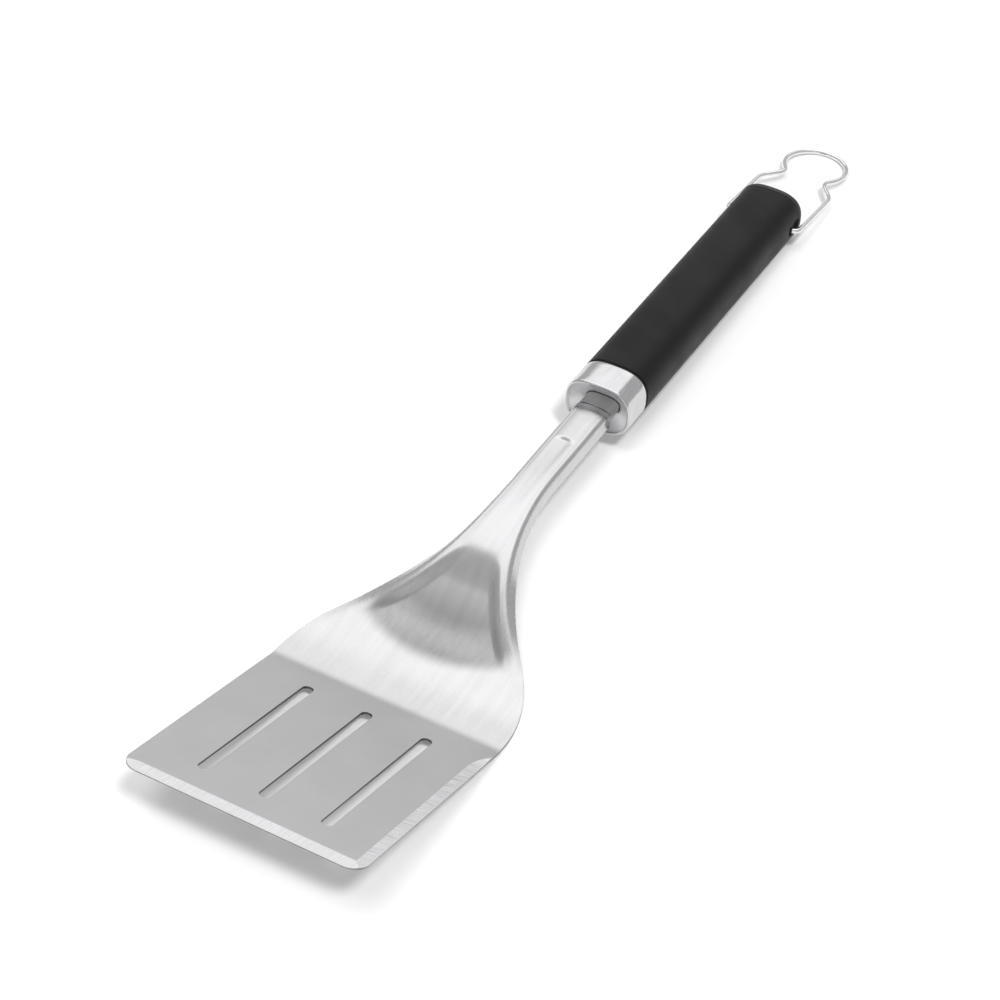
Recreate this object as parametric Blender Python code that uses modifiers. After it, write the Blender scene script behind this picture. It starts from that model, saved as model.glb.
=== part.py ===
"""Grill spatula: a slotted steel blade on a stamped shaft, with a soft grip and a folding hanging loop.

Units are metres, with +Z up and +X towards the hanging loop. The spatula lies on a flat surface on the
heel of its blade, the end of its grip and the tip of its loop. The origin is the centre of its footprint.

Two frames carry the pieces. The blade frame has its origin at the middle of the blade's front edge, with
the blade's flat top in its XY plane. The handle frame starts at the collar's front rim, with +X along the
handle. The loop turns about its own empty, which lies on the pivot.
"""

from math import acos, asin, atan, cos, hypot, pi, radians, sin, sqrt, tan

import bmesh
import bpy
from mathutils import Matrix, Vector

# --- Driving dimensions -----------------------------------------------------

SHEET = 0.00115  # thickness of the stamped steel
TOUCH_GAP = 0.0003  # between pieces that touch
PIVOT_GAP = 0.00008  # around the loop's legs in their bushes

BLADE_WIDTH = 0.1000
BLADE_FLAT = 0.1040  # front edge to the fold
BLADE_CORNER = 0.0070
SHOULDER_START = 0.1090  # front edge to where the sides start to draw in
SHOULDER_RADIUS = 0.0576
SHOULDER_ANGLE = radians(36.3)
WAIST_RADIUS = 0.1237

FOLD_RADIUS = 0.0180
FOLD_PITCH = radians(13.5)
FOLD_RUN = 0.0070
HEEL_RADIUS = 0.0637
HEEL_PITCH = radians(26.4)
HEEL_RUN = 0.0070
RISE_RADIUS = 0.0364
RISE_PITCH = radians(47.8)
RISE_RUN = 0.0045
CREST_RADIUS = 0.1413
SHAFT_PITCH = radians(17.0)
SHAFT_RUN = 0.0452
SHAFT_HALF_WIDTH = 0.0083
SHAFT_CROWN = 0.0008

SLOT_COUNT = 3
SLOT_PITCH = 0.02587
SLOT_WIDTH = 0.00458
SLOT_START = 0.01655
SLOT_LENGTH = 0.07722

BEVEL_WIDTH = 0.0050  # the ground edges, along the front and the right side
BEVEL_DEPTH = 0.00065
BEVEL_RUNOUT = 0.0970  # front edge to where the side's ground edge ends

FLANK_RADIUS = 0.0025  # the turned-down edges that stiffen neck and shaft
FLANK_LENGTH = 0.0040
FLANK_ANGLE = radians(85.0)
FLANK_START = 0.1190
FLANK_FULL = 0.2163
RIM_FLAT = 0.0005  # between the dish's wall and the turned-down edge
DISH_START = 0.1315
DISH_BOW = 0.0090  # how far the dish's front edge curves back, DISH_BOW_AT off its middle
DISH_BOW_AT = 0.0300
DISH_RAMP = 0.0220
DISH_FADE = (0.1670, 0.1860)  # where the dish rises out again towards the shaft
DISH_DEPTH = 0.0028
DISH_WALL = 0.0030
DISH_WIDENING = 0.0100  # floor width gained while the groove's wall becomes the dish's
GROOVE_FLOOR_SHARE = 0.49  # of the shaft's flat half width
GROOVE_WALL_SHARE = 0.40
GROOVE_DEPTH = 0.0011
GROOVE_START = 0.1800  # the groove deepens from here to its end near the collar
GROOVE_TO_SEAM = 0.0225
GROOVE_END_RAMP = 0.0028

HANDLE_PITCH = radians(16.0)
SEAM_TO_COLLAR = 0.0033
CROWN_ABOVE_AXIS = 0.0037  # the shaft's top over the handle's axis, at the seam
SQUARENESS = 2.73  # exponent of the rounded-rectangle sections

INSERT_HALF = (0.0076, 0.0039)
INSERT_DROP = 0.0003  # the insert's centre under the handle's axis
INSERT_SEAM = 0.0004  # the fine line between shaft and insert
INSERT_REAR = 0.0200
SPIGOT_LENGTH = 0.0180
SPIGOT_HALF_HEIGHT = 0.0019

COLLAR_LENGTH = 0.0154
COLLAR_HALF = (0.0149, 0.01189)
COLLAR_RIM = 0.0013
COLLAR_WALL = 0.0020
FUNNEL_DEPTH = 0.0055
COLLAR_WEB = 0.0022

GASKET = 0.0006
GASKET_INSET = 0.0002

GRIP_LENGTH = 0.1480
GRIP_END_HALF = (0.0147, 0.01177)
GRIP_WALL = 0.0030
END_CAP = 0.0030
END_CAP_RADIUS = 0.0013
END_PLUG = 0.0040  # the cap's plug inside the grip

TANG_RADIUS = 0.0030
TANG_THREAD = 0.0110  # length screwed into the insert
NUT_RADIUS = 0.0052
NUT_LENGTH = 0.0042
WASHER_RADIUS = 0.0056
WASHER = 0.0012
CORE_POCKET_RADIUS = 0.0064
POCKET_TO_PIVOT = 0.0090

PIVOT_FROM_END = 0.0105
WIRE_RADIUS = 0.00115
LOOP_HALF_WIDTH = 0.0174
LOOP_LEG_END = 0.0085  # inner end of each leg, from the handle's axis
LOOP_LEG_BEND = 0.0026
LOOP_SHOULDER = 0.0360
LOOP_SHOULDER_BEND = 0.0085
LOOP_WAIST = (0.0465, 0.0092)
LOOP_WAIST_BEND = 0.0050
LOOP_EYE_RADIUS = 0.01435
LOOP_EYE_CENTRE = 0.0590
LOOP_FLOOR_GAP = 0.0002
BUSH_RADIUS = 0.0024
RECESS_WIDTH = 0.0056
RECESS_DEPTH = 0.0014
RECESS_LENGTH = 0.0050

# --- Derived sizes --------------------------------------------------------

SHAFT_FLAT = SHAFT_HALF_WIDTH - FLANK_RADIUS * sin(FLANK_ANGLE) - FLANK_LENGTH * cos(FLANK_ANGLE)
GROOVE_HALF_WIDTH = GROOVE_FLOOR_SHARE * SHAFT_FLAT
GROOVE_WALL = GROOVE_WALL_SHARE * SHAFT_FLAT

# --- Derived places along the handle ----------------------------------------

GASKET_START = COLLAR_LENGTH + TOUCH_GAP
GRIP_START = GASKET_START + GASKET + TOUCH_GAP
GRIP_END = GRIP_START + GRIP_LENGTH
END_CAP_START = GRIP_END + TOUCH_GAP
HANDLE_END = END_CAP_START + END_CAP
PIVOT = HANDLE_END - PIVOT_FROM_END
POCKET_START = PIVOT - POCKET_TO_PIVOT
CORE_START = FUNNEL_DEPTH + COLLAR_WEB + TOUCH_GAP
CORE_END = GRIP_END - END_PLUG - TOUCH_GAP
CORE_HALF = tuple(half - GRIP_WALL - TOUCH_GAP for half in GRIP_END_HALF)

RING_POINTS = 40
STATION_STEP = 0.0036


# --- Scene helpers ----------------------------------------------------------


def clear_scene():
    for obj in list(bpy.data.objects):
        bpy.data.objects.remove(obj, do_unlink=True)


def new_collection(name):
    collection = bpy.data.collections.new(name)
    bpy.context.scene.collection.children.link(collection)
    return collection


def new_empty(name, parent, matrix):
    empty = bpy.data.objects.new(name, None)
    empty.empty_display_size = 0.01
    PARTS.objects.link(empty)
    empty.parent = parent
    empty.matrix_local = matrix
    return empty


def new_material(name, colour, roughness, metallic):
    material = bpy.data.materials.new(name)
    material.use_nodes = True
    shader = material.node_tree.nodes["Principled BSDF"]
    shader.inputs["Base Color"].default_value = (*colour, 1.0)
    shader.inputs["Roughness"].default_value = roughness
    shader.inputs["Metallic"].default_value = metallic
    material.diffuse_color = (*colour, 1.0)
    return material


def add_mesh(name, bm, parent, material=None):
    """A part, or a cutter where it has no material."""
    bmesh.ops.recalc_face_normals(bm, faces=bm.faces)
    mesh = bpy.data.meshes.new(name)
    bm.to_mesh(mesh)
    bm.free()
    obj = bpy.data.objects.new(name, mesh)
    obj.parent = parent
    if material is None:
        CUTTERS.objects.link(obj)
        obj.hide_render = True
        obj.display_type = "WIRE"
        return obj
    PARTS.objects.link(obj)
    mesh.materials.append(material)
    mesh.shade_smooth()
    mesh.set_sharp_from_angle(angle=radians(30))
    return obj


def boolean(obj, cutter, operation="DIFFERENCE"):
    modifier = obj.modifiers.new(f"{operation.lower()}_{cutter.name}", "BOOLEAN")
    modifier.operation = operation
    modifier.solver = "EXACT"
    modifier.object = cutter


# --- Shape helpers ----------------------------------------------------------


def smooth(t):
    """0 to 1 with flat ends."""
    t = min(max(t, 0.0), 1.0)
    return t * t * (3 - 2 * t)


def ring(half_width, half_height, centre=0.0, exponent=SQUARENESS):
    """A rounded-rectangle section as (y, z) points."""
    points = []
    for i in range(RING_POINTS):
        angle = 2 * pi * (i + 0.5) / RING_POINTS
        c, s = cos(angle), sin(angle)
        y = half_width * abs(c) ** (2 / exponent) * (1 if c > 0 else -1)
        z = half_height * abs(s) ** (2 / exponent) * (1 if s > 0 else -1)
        points.append((y, centre + z))
    return points


def loft(sections):
    """A closed solid through (x, ring) sections."""
    bm = bmesh.new()
    rows = [[bm.verts.new((x, y, z)) for y, z in points] for x, points in sections]
    for first, second in zip(rows, rows[1:]):
        for i in range(len(first)):
            j = (i + 1) % len(first)
            bm.faces.new((first[i], first[j], second[j], second[i]))
    bm.faces.new(rows[0])
    bm.faces.new(rows[-1][::-1])
    return bm


def prism(outline, low, high):
    """A flat outline of (x, y) points drawn up from one height to another."""
    bm = bmesh.new()
    face = bm.faces.new([bm.verts.new((x, y, low)) for x, y in outline])
    drawn = bmesh.ops.extrude_face_region(bm, geom=[face])
    risen = [item for item in drawn["geom"] if isinstance(item, bmesh.types.BMVert)]
    bmesh.ops.translate(bm, verts=risen, vec=(0, 0, high - low))
    return bm


def capsule(start, end, y, radius, steps=8):
    """The outline of a slot with round ends, along X."""
    points = []
    for centre, first in ((end, -pi / 2), (start, pi / 2)):
        for i in range(steps + 1):
            angle = first + pi * i / steps
            points.append((centre + radius * cos(angle), y + radius * sin(angle)))
    return points


def cylinder(radius, start, end, axis="X", segments=24):
    """A solid cylinder along X or Y."""
    bm = bmesh.new()
    bmesh.ops.create_cone(
        bm, cap_ends=True, segments=segments, radius1=radius, radius2=radius, depth=end - start
    )
    turn = Matrix.Rotation(pi / 2, 4, "Y") if axis == "X" else Matrix.Rotation(-pi / 2, 4, "X")
    middle = (start + end) / 2
    shift = Vector((middle, 0, 0)) if axis == "X" else Vector((0, middle, 0))
    bmesh.ops.transform(bm, matrix=Matrix.Translation(shift) @ turn, verts=bm.verts)
    return bm


def moved(bm, vector):
    bmesh.ops.translate(bm, verts=bm.verts, vec=vector)
    return bm


def rounded(points, radii, step=radians(12)):
    """A polyline whose inner corners become arcs of the given radii."""
    path = [Vector(points[0])]
    for before, corner, after, radius in zip(points, points[1:], points[2:], radii):
        corner = Vector(corner)
        back = (Vector(before) - corner).normalized()
        ahead = (Vector(after) - corner).normalized()
        half = acos(max(-1.0, min(1.0, back.dot(ahead)))) / 2
        centre = corner + (back + ahead).normalized() * (radius / sin(half))
        start = corner + back * (radius / tan(half)) - centre
        end = corner + ahead * (radius / tan(half)) - centre
        sweep = pi - 2 * half
        count = max(2, round(sweep / step))
        for i in range(count + 1):
            t = i / count
            path.append(centre + (start * sin((1 - t) * sweep) + end * sin(t * sweep)) / sin(sweep))
    path.append(Vector(points[-1]))
    return path


# --- The stamped sheet's side profile and plan outline ------------------------

PROFILE = (
    ("run", BLADE_FLAT, None),
    ("arc", FOLD_RADIUS, FOLD_PITCH),
    ("run", FOLD_RUN, None),
    ("arc", HEEL_RADIUS, HEEL_PITCH),
    ("run", HEEL_RUN, None),
    ("arc", RISE_RADIUS, RISE_PITCH),
    ("run", RISE_RUN, None),
    ("arc", CREST_RADIUS, SHAFT_PITCH),
    ("run", SHAFT_RUN, None),
)


def profile_length():
    pitch = 0.0
    total = 0.0
    for kind, size, target in PROFILE:
        if kind == "run":
            total += size
        else:
            total += size * abs(target - pitch)
            pitch = target
    return total


def profile_at(distance):
    """(x, z, pitch) of the sheet's top at its middle, this far along it from the front edge."""
    x = z = pitch = 0.0
    left = distance
    for kind, size, target in PROFILE:
        length = size if kind == "run" else size * abs(target - pitch)
        part = min(left, length)
        if kind == "run":
            x += part * cos(pitch)
            z += part * sin(pitch)
        elif part > 0:
            turn = (target - pitch) * part / length
            chord = 2 * size * sin(abs(turn) / 2)
            x += chord * cos(pitch + turn / 2)
            z += chord * sin(pitch + turn / 2)
            pitch += turn
        left -= part
        if left <= 0:
            break
    return x, z, pitch


SHEET_LENGTH = profile_length()


def half_width(distance):
    """Half of the sheet's width in plan: straight sides, a round shoulder, a slope and a long waist."""
    half = BLADE_WIDTH / 2
    shoulder_end = SHOULDER_START + SHOULDER_RADIUS * sin(SHOULDER_ANGLE)
    shoulder_drop = SHOULDER_RADIUS * (1 - cos(SHOULDER_ANGLE))
    waist_drop = WAIST_RADIUS * (1 - cos(SHOULDER_ANGLE))
    slope_drop = half - SHAFT_HALF_WIDTH - shoulder_drop - waist_drop
    slope_end = shoulder_end + slope_drop / tan(SHOULDER_ANGLE)
    waist_end = slope_end + WAIST_RADIUS * sin(SHOULDER_ANGLE)
    if distance <= SHOULDER_START:
        return half
    if distance <= shoulder_end:
        across = distance - SHOULDER_START
        return half - SHOULDER_RADIUS + sqrt(SHOULDER_RADIUS**2 - across**2)
    if distance <= slope_end:
        return half - shoulder_drop - (distance - shoulder_end) * tan(SHOULDER_ANGLE)
    if distance <= waist_end:
        across = waist_end - distance
        return SHAFT_HALF_WIDTH + WAIST_RADIUS - sqrt(WAIST_RADIUS**2 - across**2)
    return SHAFT_HALF_WIDTH


def flank_share(distance):
    """How far the edges are turned down: 0 on the blade, 1 on the shaft."""
    return smooth((distance - FLANK_START) / (FLANK_FULL - FLANK_START))


def pressed_depth(distance, y, floor, wall):
    """Depth of the dish and the groove at this distance along the sheet and y off its middle."""
    front = DISH_START + DISH_BOW * (y / DISH_BOW_AT) ** 2
    fade_start, fade_end = DISH_FADE
    fade = smooth((fade_end - distance) / (fade_end - fade_start))
    dish = DISH_DEPTH * smooth((distance - front) / DISH_RAMP) * fade
    end = SHEET_LENGTH - GROOVE_TO_SEAM
    groove = GROOVE_DEPTH * smooth((distance - GROOVE_START) / (end - GROOVE_START))
    past = max(0.0, distance - end + GROOVE_END_RAMP) / GROOVE_END_RAMP
    rounded_y = hypot(y, past * (floor + wall))
    groove *= smooth((floor + wall - rounded_y) / (2 * wall))
    return dish * smooth((floor + wall - y) / (2 * wall)) + groove


def half_section(distance):
    """(y, u) points of the sheet's top, from its middle to one edge, with u square to the sheet."""
    half = half_width(distance)
    share = flank_share(distance)
    angle = max(FLANK_ANGLE * share, 1e-4)
    radius = FLANK_RADIUS * FLANK_ANGLE / angle
    straight = FLANK_LENGTH * (1 + share) / 2
    turn_y = half - radius * sin(angle) - straight * cos(angle)
    floor = max(GROOVE_HALF_WIDTH, turn_y - RIM_FLAT - DISH_WALL)
    openness = min(1.0, (floor - GROOVE_HALF_WIDTH) / DISH_WIDENING)
    wall = GROOVE_WALL + (DISH_WALL - GROOVE_WALL) * openness
    across = [(floor - wall) * k / 4 for k in range(5)]
    across += [floor - wall / 2, floor, floor + wall / 2, floor + wall, turn_y]
    points = []
    for y in across:
        crown = SHAFT_CROWN * share * (y / turn_y) ** 2
        points.append((y, -crown - pressed_depth(distance, y, floor, wall)))
    start_u = points[-1][1]
    for k in range(1, 5):
        bend = angle * k / 4
        points.append((turn_y + radius * sin(bend), start_u - radius * (1 - cos(bend))))
    y, u = points[-1]
    points.append((y + straight * cos(angle), u - straight * sin(angle)))
    return points


def stations():
    """Distances along the sheet: wide apart on the flat, close in the fold and where the groove ends."""
    groove_end = SHEET_LENGTH - GROOVE_TO_SEAM
    fold = FOLD_RADIUS * FOLD_PITCH
    places = [0.0, SLOT_START / 2, BLADE_FLAT / 2]
    places += [BLADE_FLAT + fold * k / 3 for k in range(4)]
    bent = groove_end - GROOVE_END_RAMP - BLADE_FLAT - fold
    count = round(bent / STATION_STEP)
    places += [BLADE_FLAT + fold + bent * k / count for k in range(1, count + 1)]
    places += [groove_end - GROOVE_END_RAMP * k / 3 for k in (2, 1, 0)]
    places += [(groove_end + SHEET_LENGTH) / 2, SHEET_LENGTH]
    return places


# --- Pieces -----------------------------------------------------------------


def build_sheet(frame, material):
    """Blade, neck and shaft: one sheet, pressed, turned down at its edges, slotted and ground."""
    bm = bmesh.new()
    rows = []
    for distance in stations():
        x, z, pitch = profile_at(distance)
        right = half_section(distance)
        section = [(-y, u) for y, u in right[:0:-1]] + right
        rows.append([bm.verts.new((x - u * sin(pitch), y, z + u * cos(pitch))) for y, u in section])
    for first, second in zip(rows, rows[1:]):
        for i in range(len(first) - 1):
            bm.faces.new((first[i], second[i], second[i + 1], first[i + 1]))
    sheet = add_mesh("blade_and_shaft", bm, frame, material)
    thickness = sheet.modifiers.new("sheet_thickness", "SOLIDIFY")
    thickness.thickness = SHEET
    thickness.offset = -1.0
    thickness.use_even_offset = True

    low, high = -3 * SHEET, 2 * SHEET
    for i in range(SLOT_COUNT):
        y = SLOT_PITCH * (i - (SLOT_COUNT - 1) / 2)
        radius = SLOT_WIDTH / 2
        outline = capsule(SLOT_START + radius, SLOT_START + SLOT_LENGTH - radius, y, radius)
        boolean(sheet, add_mesh(f"slot_cutter_{i + 1}", prism(outline, low, high), frame))
    for side, name in ((1, "left"), (-1, "right")):
        outline = corner_outline(side)
        boolean(sheet, add_mesh(f"corner_cutter_{name}", prism(outline, low, high), frame))
    boolean(sheet, add_mesh("front_bevel_cutter", bevel_wedge(BLADE_WIDTH), frame))
    side_bevel = bevel_wedge(2 * BEVEL_RUNOUT)
    bmesh.ops.rotate(side_bevel, verts=side_bevel.verts, matrix=Matrix.Rotation(pi / 2, 3, "Z"))
    moved(side_bevel, (0, -BLADE_WIDTH / 2, 0))
    boolean(sheet, add_mesh("side_bevel_cutter", side_bevel, frame))


def corner_outline(side):
    """The waste outside a round front corner of the blade."""
    edge = BLADE_WIDTH / 2
    over = 0.002
    points = [(BLADE_CORNER, side * (edge + over)), (-over, side * (edge + over))]
    points.append((-over, side * (edge - BLADE_CORNER)))
    for i in range(7):
        angle = pi / 2 * i / 6
        x = BLADE_CORNER * (1 - cos(angle))
        points.append((x, side * (edge - BLADE_CORNER + BLADE_CORNER * sin(angle))))
    return points


def bevel_wedge(length):
    """The waste over a ground edge that runs along Y at x = 0."""
    over = 0.0015
    slope = BEVEL_DEPTH / BEVEL_WIDTH
    rise = BEVEL_DEPTH + over * slope
    outline = ((BEVEL_WIDTH + over, over * slope), (-over, over * slope + SHEET), (-over, -rise))
    bm = bmesh.new()
    face = bm.faces.new([bm.verts.new((x, -length / 2, z)) for x, z in outline])
    drawn = bmesh.ops.extrude_face_region(bm, geom=[face])
    far = [item for item in drawn["geom"] if isinstance(item, bmesh.types.BMVert)]
    bmesh.ops.translate(bm, verts=far, vec=(0, length, 0))
    return bm


def build_insert(handle, material):
    """The polished bar that joins the shaft to the handle: a spigot under the shaft, then the neck."""
    half_y, half_z = INSERT_HALF
    seam = -SEAM_TO_COLLAR
    roof = CROWN_ABOVE_AXIS - SHEET - SHAFT_CROWN - TOUCH_GAP
    roof -= SPIGOT_LENGTH * tan(SHAFT_PITCH - HANDLE_PITCH)
    spigot_half = SHAFT_HALF_WIDTH - SHEET - 3 * TOUCH_GAP
    spigot = ring(spigot_half, SPIGOT_HALF_HEIGHT, roof - SPIGOT_HALF_HEIGHT, 3.0)
    neck = ring(half_y, half_z, -INSERT_DROP)
    front = ring(half_y - INSERT_SEAM, half_z - INSERT_SEAM, -INSERT_DROP)
    shoulder = seam + INSERT_SEAM
    sections = [(seam - SPIGOT_LENGTH, spigot), (shoulder, spigot), (shoulder, front)]
    sections += [(shoulder + INSERT_SEAM, neck), (INSERT_REAR, neck)]
    insert = add_mesh("neck_insert", loft(sections), handle, material)
    hole = cylinder(TANG_RADIUS + TOUCH_GAP, INSERT_REAR - TANG_THREAD, INSERT_REAR + 0.002)
    hole = moved(hole, (0, 0, -INSERT_DROP))
    boolean(insert, add_mesh("insert_thread_cutter", hole, handle))


def build_collar(handle, material):
    """The bright cap on the handle's front: a rounded rim, a concave mouth and a hollow back."""
    half_y, half_z = COLLAR_HALF
    sections = []
    for i in range(4):
        angle = pi / 2 * i / 3
        inset = COLLAR_RIM * (1 - sin(angle))
        sections.append((COLLAR_RIM * (1 - cos(angle)), ring(half_y - inset, half_z - inset)))
    sections.append((COLLAR_LENGTH, ring(half_y, half_z)))
    collar = add_mesh("collar", loft(sections), handle, material)

    mouth_y, mouth_z = half_y - COLLAR_RIM, half_z - COLLAR_RIM
    throat_y, throat_z = INSERT_HALF[0] + TOUCH_GAP, INSERT_HALF[1] + TOUCH_GAP
    funnel = [(-0.001, ring(mouth_y + 0.0003, mouth_z + 0.0003))]
    for i in range(6):
        t = i / 5
        narrowing = t**1.5
        section = ring(
            mouth_y + (throat_y + TOUCH_GAP - mouth_y) * narrowing,
            mouth_z + (throat_z + TOUCH_GAP - mouth_z) * narrowing,
            -INSERT_DROP * narrowing,
        )
        funnel.append((FUNNEL_DEPTH * t, section))
    boolean(collar, add_mesh("collar_mouth_cutter", loft(funnel), handle))
    throat = ring(throat_y, throat_z, -INSERT_DROP)
    through = loft([(FUNNEL_DEPTH - 0.001, throat), (COLLAR_LENGTH + 0.001, throat)])
    boolean(collar, add_mesh("collar_throat_cutter", through, handle))
    back = ring(half_y - COLLAR_WALL, half_z - COLLAR_WALL)
    hollow = loft([(FUNNEL_DEPTH + COLLAR_WEB, back), (COLLAR_LENGTH + 0.001, back)])
    boolean(collar, add_mesh("collar_back_cutter", hollow, handle))


def build_gasket(handle, material):
    """The thin dark ring between the collar and the grip."""
    half_y, half_z = (half - GASKET_INSET for half in COLLAR_HALF)
    outer = ring(half_y, half_z)
    sections = [(GASKET_START, outer), (GASKET_START + GASKET, outer)]
    gasket = add_mesh("collar_gasket", loft(sections), handle, material)
    inner = ring(CORE_HALF[0] + TOUCH_GAP, CORE_HALF[1] + TOUCH_GAP)
    hole = loft([(GASKET_START - 0.001, inner), (GASKET_START + GASKET + 0.001, inner)])
    boolean(gasket, add_mesh("gasket_cutter", hole, handle))


def build_core(handle, material):
    """The rigid moulding inside the grip, with a nose that fills the collar's back."""
    nose_half = [half - COLLAR_WALL - TOUCH_GAP for half in COLLAR_HALF]
    nose, body = ring(*nose_half), ring(*CORE_HALF)
    sections = [(CORE_START, nose), (COLLAR_LENGTH - 0.0002, nose)]
    sections += [(COLLAR_LENGTH - 0.0002, body), (CORE_END, body)]
    core = add_mesh("handle_core", loft(sections), handle, material)
    seat = ring(INSERT_HALF[0] + TOUCH_GAP, INSERT_HALF[1] + TOUCH_GAP, -INSERT_DROP)
    seat_cut = loft([(CORE_START - 0.001, seat), (INSERT_REAR + TOUCH_GAP, seat)])
    boolean(core, add_mesh("core_seat_cutter", seat_cut, handle))
    bore = cylinder(TANG_RADIUS + TOUCH_GAP, INSERT_REAR - 0.001, POCKET_START + 0.001)
    boolean(core, add_mesh("core_bore_cutter", moved(bore, (0, 0, -INSERT_DROP)), handle))
    pocket = cylinder(CORE_POCKET_RADIUS, POCKET_START, CORE_END + 0.001, segments=32)
    boolean(core, add_mesh("core_pocket_cutter", moved(pocket, (0, 0, -INSERT_DROP)), handle))
    across = cylinder(BUSH_RADIUS + TOUCH_GAP, -0.02, 0.02, axis="Y")
    boolean(core, add_mesh("core_pivot_cutter", moved(across, (PIVOT, 0, 0)), handle))


def build_grip(handle, material):
    """The soft sleeve over the core, a little slimmer at its end, with a recess at each pivot hole."""
    sections = [(GRIP_START, ring(*COLLAR_HALF)), (GRIP_END, ring(*GRIP_END_HALF))]
    grip = add_mesh("grip_sleeve", loft(sections), handle, material)
    bore = ring(CORE_HALF[0] + TOUCH_GAP, CORE_HALF[1] + TOUCH_GAP)
    through = loft([(GRIP_START - 0.001, bore), (GRIP_END + 0.001, bore)])
    boolean(grip, add_mesh("grip_bore_cutter", through, handle))
    across = cylinder(BUSH_RADIUS + TOUCH_GAP, -0.02, 0.02, axis="Y")
    boolean(grip, add_mesh("grip_pivot_cutter", moved(across, (PIVOT, 0, 0)), handle))
    floor = GRIP_END_HALF[0] - RECESS_DEPTH
    outline = capsule(PIVOT, PIVOT + RECESS_LENGTH, 0, RECESS_WIDTH / 2)
    for side, name in ((1, "left"), (-1, "right")):
        recess = prism(outline, floor, floor + 0.005)
        turn = Matrix.Rotation(-side * pi / 2, 3, "X")
        bmesh.ops.rotate(recess, verts=recess.verts, matrix=turn)
        boolean(grip, add_mesh(f"recess_cutter_{name}", recess, handle))


def build_fasteners(handle, steel):
    """The threaded tang with the washer and nut that draw the handle together."""
    nut_start = POCKET_START + 2 * TOUCH_GAP + WASHER
    tang_start = INSERT_REAR - TANG_THREAD + TOUCH_GAP
    tang_end = nut_start + NUT_LENGTH + 0.001
    axis_shift = (0, 0, -INSERT_DROP)
    tang = cylinder(TANG_RADIUS, tang_start, tang_end)
    add_mesh("tang_rod", moved(tang, axis_shift), handle, steel)
    washer = cylinder(WASHER_RADIUS, POCKET_START + TOUCH_GAP, POCKET_START + TOUCH_GAP + WASHER)
    washer = add_mesh("tang_washer", moved(washer, axis_shift), handle, steel)
    nut = cylinder(NUT_RADIUS, nut_start, nut_start + NUT_LENGTH, segments=6)
    nut = add_mesh("tang_nut", moved(nut, axis_shift), handle, steel)
    hole = cylinder(TANG_RADIUS + TOUCH_GAP, POCKET_START, tang_end + 0.001)
    hole = add_mesh("nut_hole_cutter", moved(hole, axis_shift), handle)
    boolean(washer, hole)
    boolean(nut, hole)


def build_end_cap(handle, material):
    """The cap over the grip's end: a plug, a full-size plate and a round edge."""
    plug = ring(*CORE_HALF)
    sections = [(GRIP_END - END_PLUG, plug), (END_CAP_START, plug)]
    sections.append((END_CAP_START, ring(*GRIP_END_HALF)))
    for i in range(4):
        angle = pi / 2 * i / 3
        inset = END_CAP_RADIUS * (1 - cos(angle))
        x = HANDLE_END - END_CAP_RADIUS * (1 - sin(angle))
        sections.append((x, ring(*[half - inset for half in GRIP_END_HALF])))
    add_mesh("end_cap", loft(sections), handle, material)


def build_bushes(handle, material):
    """The sleeves that the loop's legs turn in."""
    inner = CORE_POCKET_RADIUS + 0.0008
    outer = GRIP_END_HALF[0] - RECESS_DEPTH - 0.0001
    bore = moved(cylinder(WIRE_RADIUS + PIVOT_GAP, -0.02, 0.02, axis="Y"), (PIVOT, 0, 0))
    bore = add_mesh("bush_bore_cutter", bore, handle)
    for side, name in ((1, "left"), (-1, "right")):
        start, end = sorted((side * inner, side * outer))
        bush = moved(cylinder(BUSH_RADIUS, start, end, axis="Y"), (PIVOT, 0, 0))
        boolean(add_mesh(f"loop_bush_{name}", bush, handle, material), bore)


def loop_path():
    """The wire's centre line, flat in the loop's XY plane, from one leg's end round to the other's."""
    waist = Vector(LOOP_WAIST)
    centre = Vector((LOOP_EYE_CENTRE, 0))
    to_centre = centre - waist
    reach = sqrt(to_centre.length_squared - LOOP_EYE_RADIUS**2)
    heading = asin(LOOP_EYE_RADIUS / to_centre.length) + atan(to_centre.y / to_centre.x)
    tangent = waist + Vector((cos(heading), sin(heading))) * reach
    corners = [
        (0, LOOP_LEG_END),
        (0, LOOP_HALF_WIDTH),
        (LOOP_SHOULDER, LOOP_HALF_WIDTH),
        tuple(waist),
        tuple(tangent),
    ]
    half = rounded(corners, (LOOP_LEG_BEND, LOOP_SHOULDER_BEND, LOOP_WAIST_BEND))
    start = acos((tangent.x - LOOP_EYE_CENTRE) / LOOP_EYE_RADIUS)
    count = 9
    for i in range(1, count + 1):
        angle = start * (1 - i / count)
        half.append(centre + LOOP_EYE_RADIUS * Vector((cos(angle), sin(angle))))
    return half + [Vector((p.x, -p.y)) for p in half[-2::-1]]


def build_loop(pivot, material):
    curve = bpy.data.curves.new("hanging_loop", "CURVE")
    curve.dimensions = "3D"
    curve.bevel_depth = WIRE_RADIUS
    curve.bevel_resolution = 2
    curve.use_fill_caps = True
    path = loop_path()
    spline = curve.splines.new("POLY")
    spline.points.add(len(path) - 1)
    for point, place in zip(spline.points, path):
        point.co = (place.x, place.y, 0, 1)
    curve.materials.append(material)
    loop = bpy.data.objects.new("hanging_loop", curve)
    PARTS.objects.link(loop)
    loop.parent = pivot


# --- Standing the spatula on its surface --------------------------------------


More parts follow.
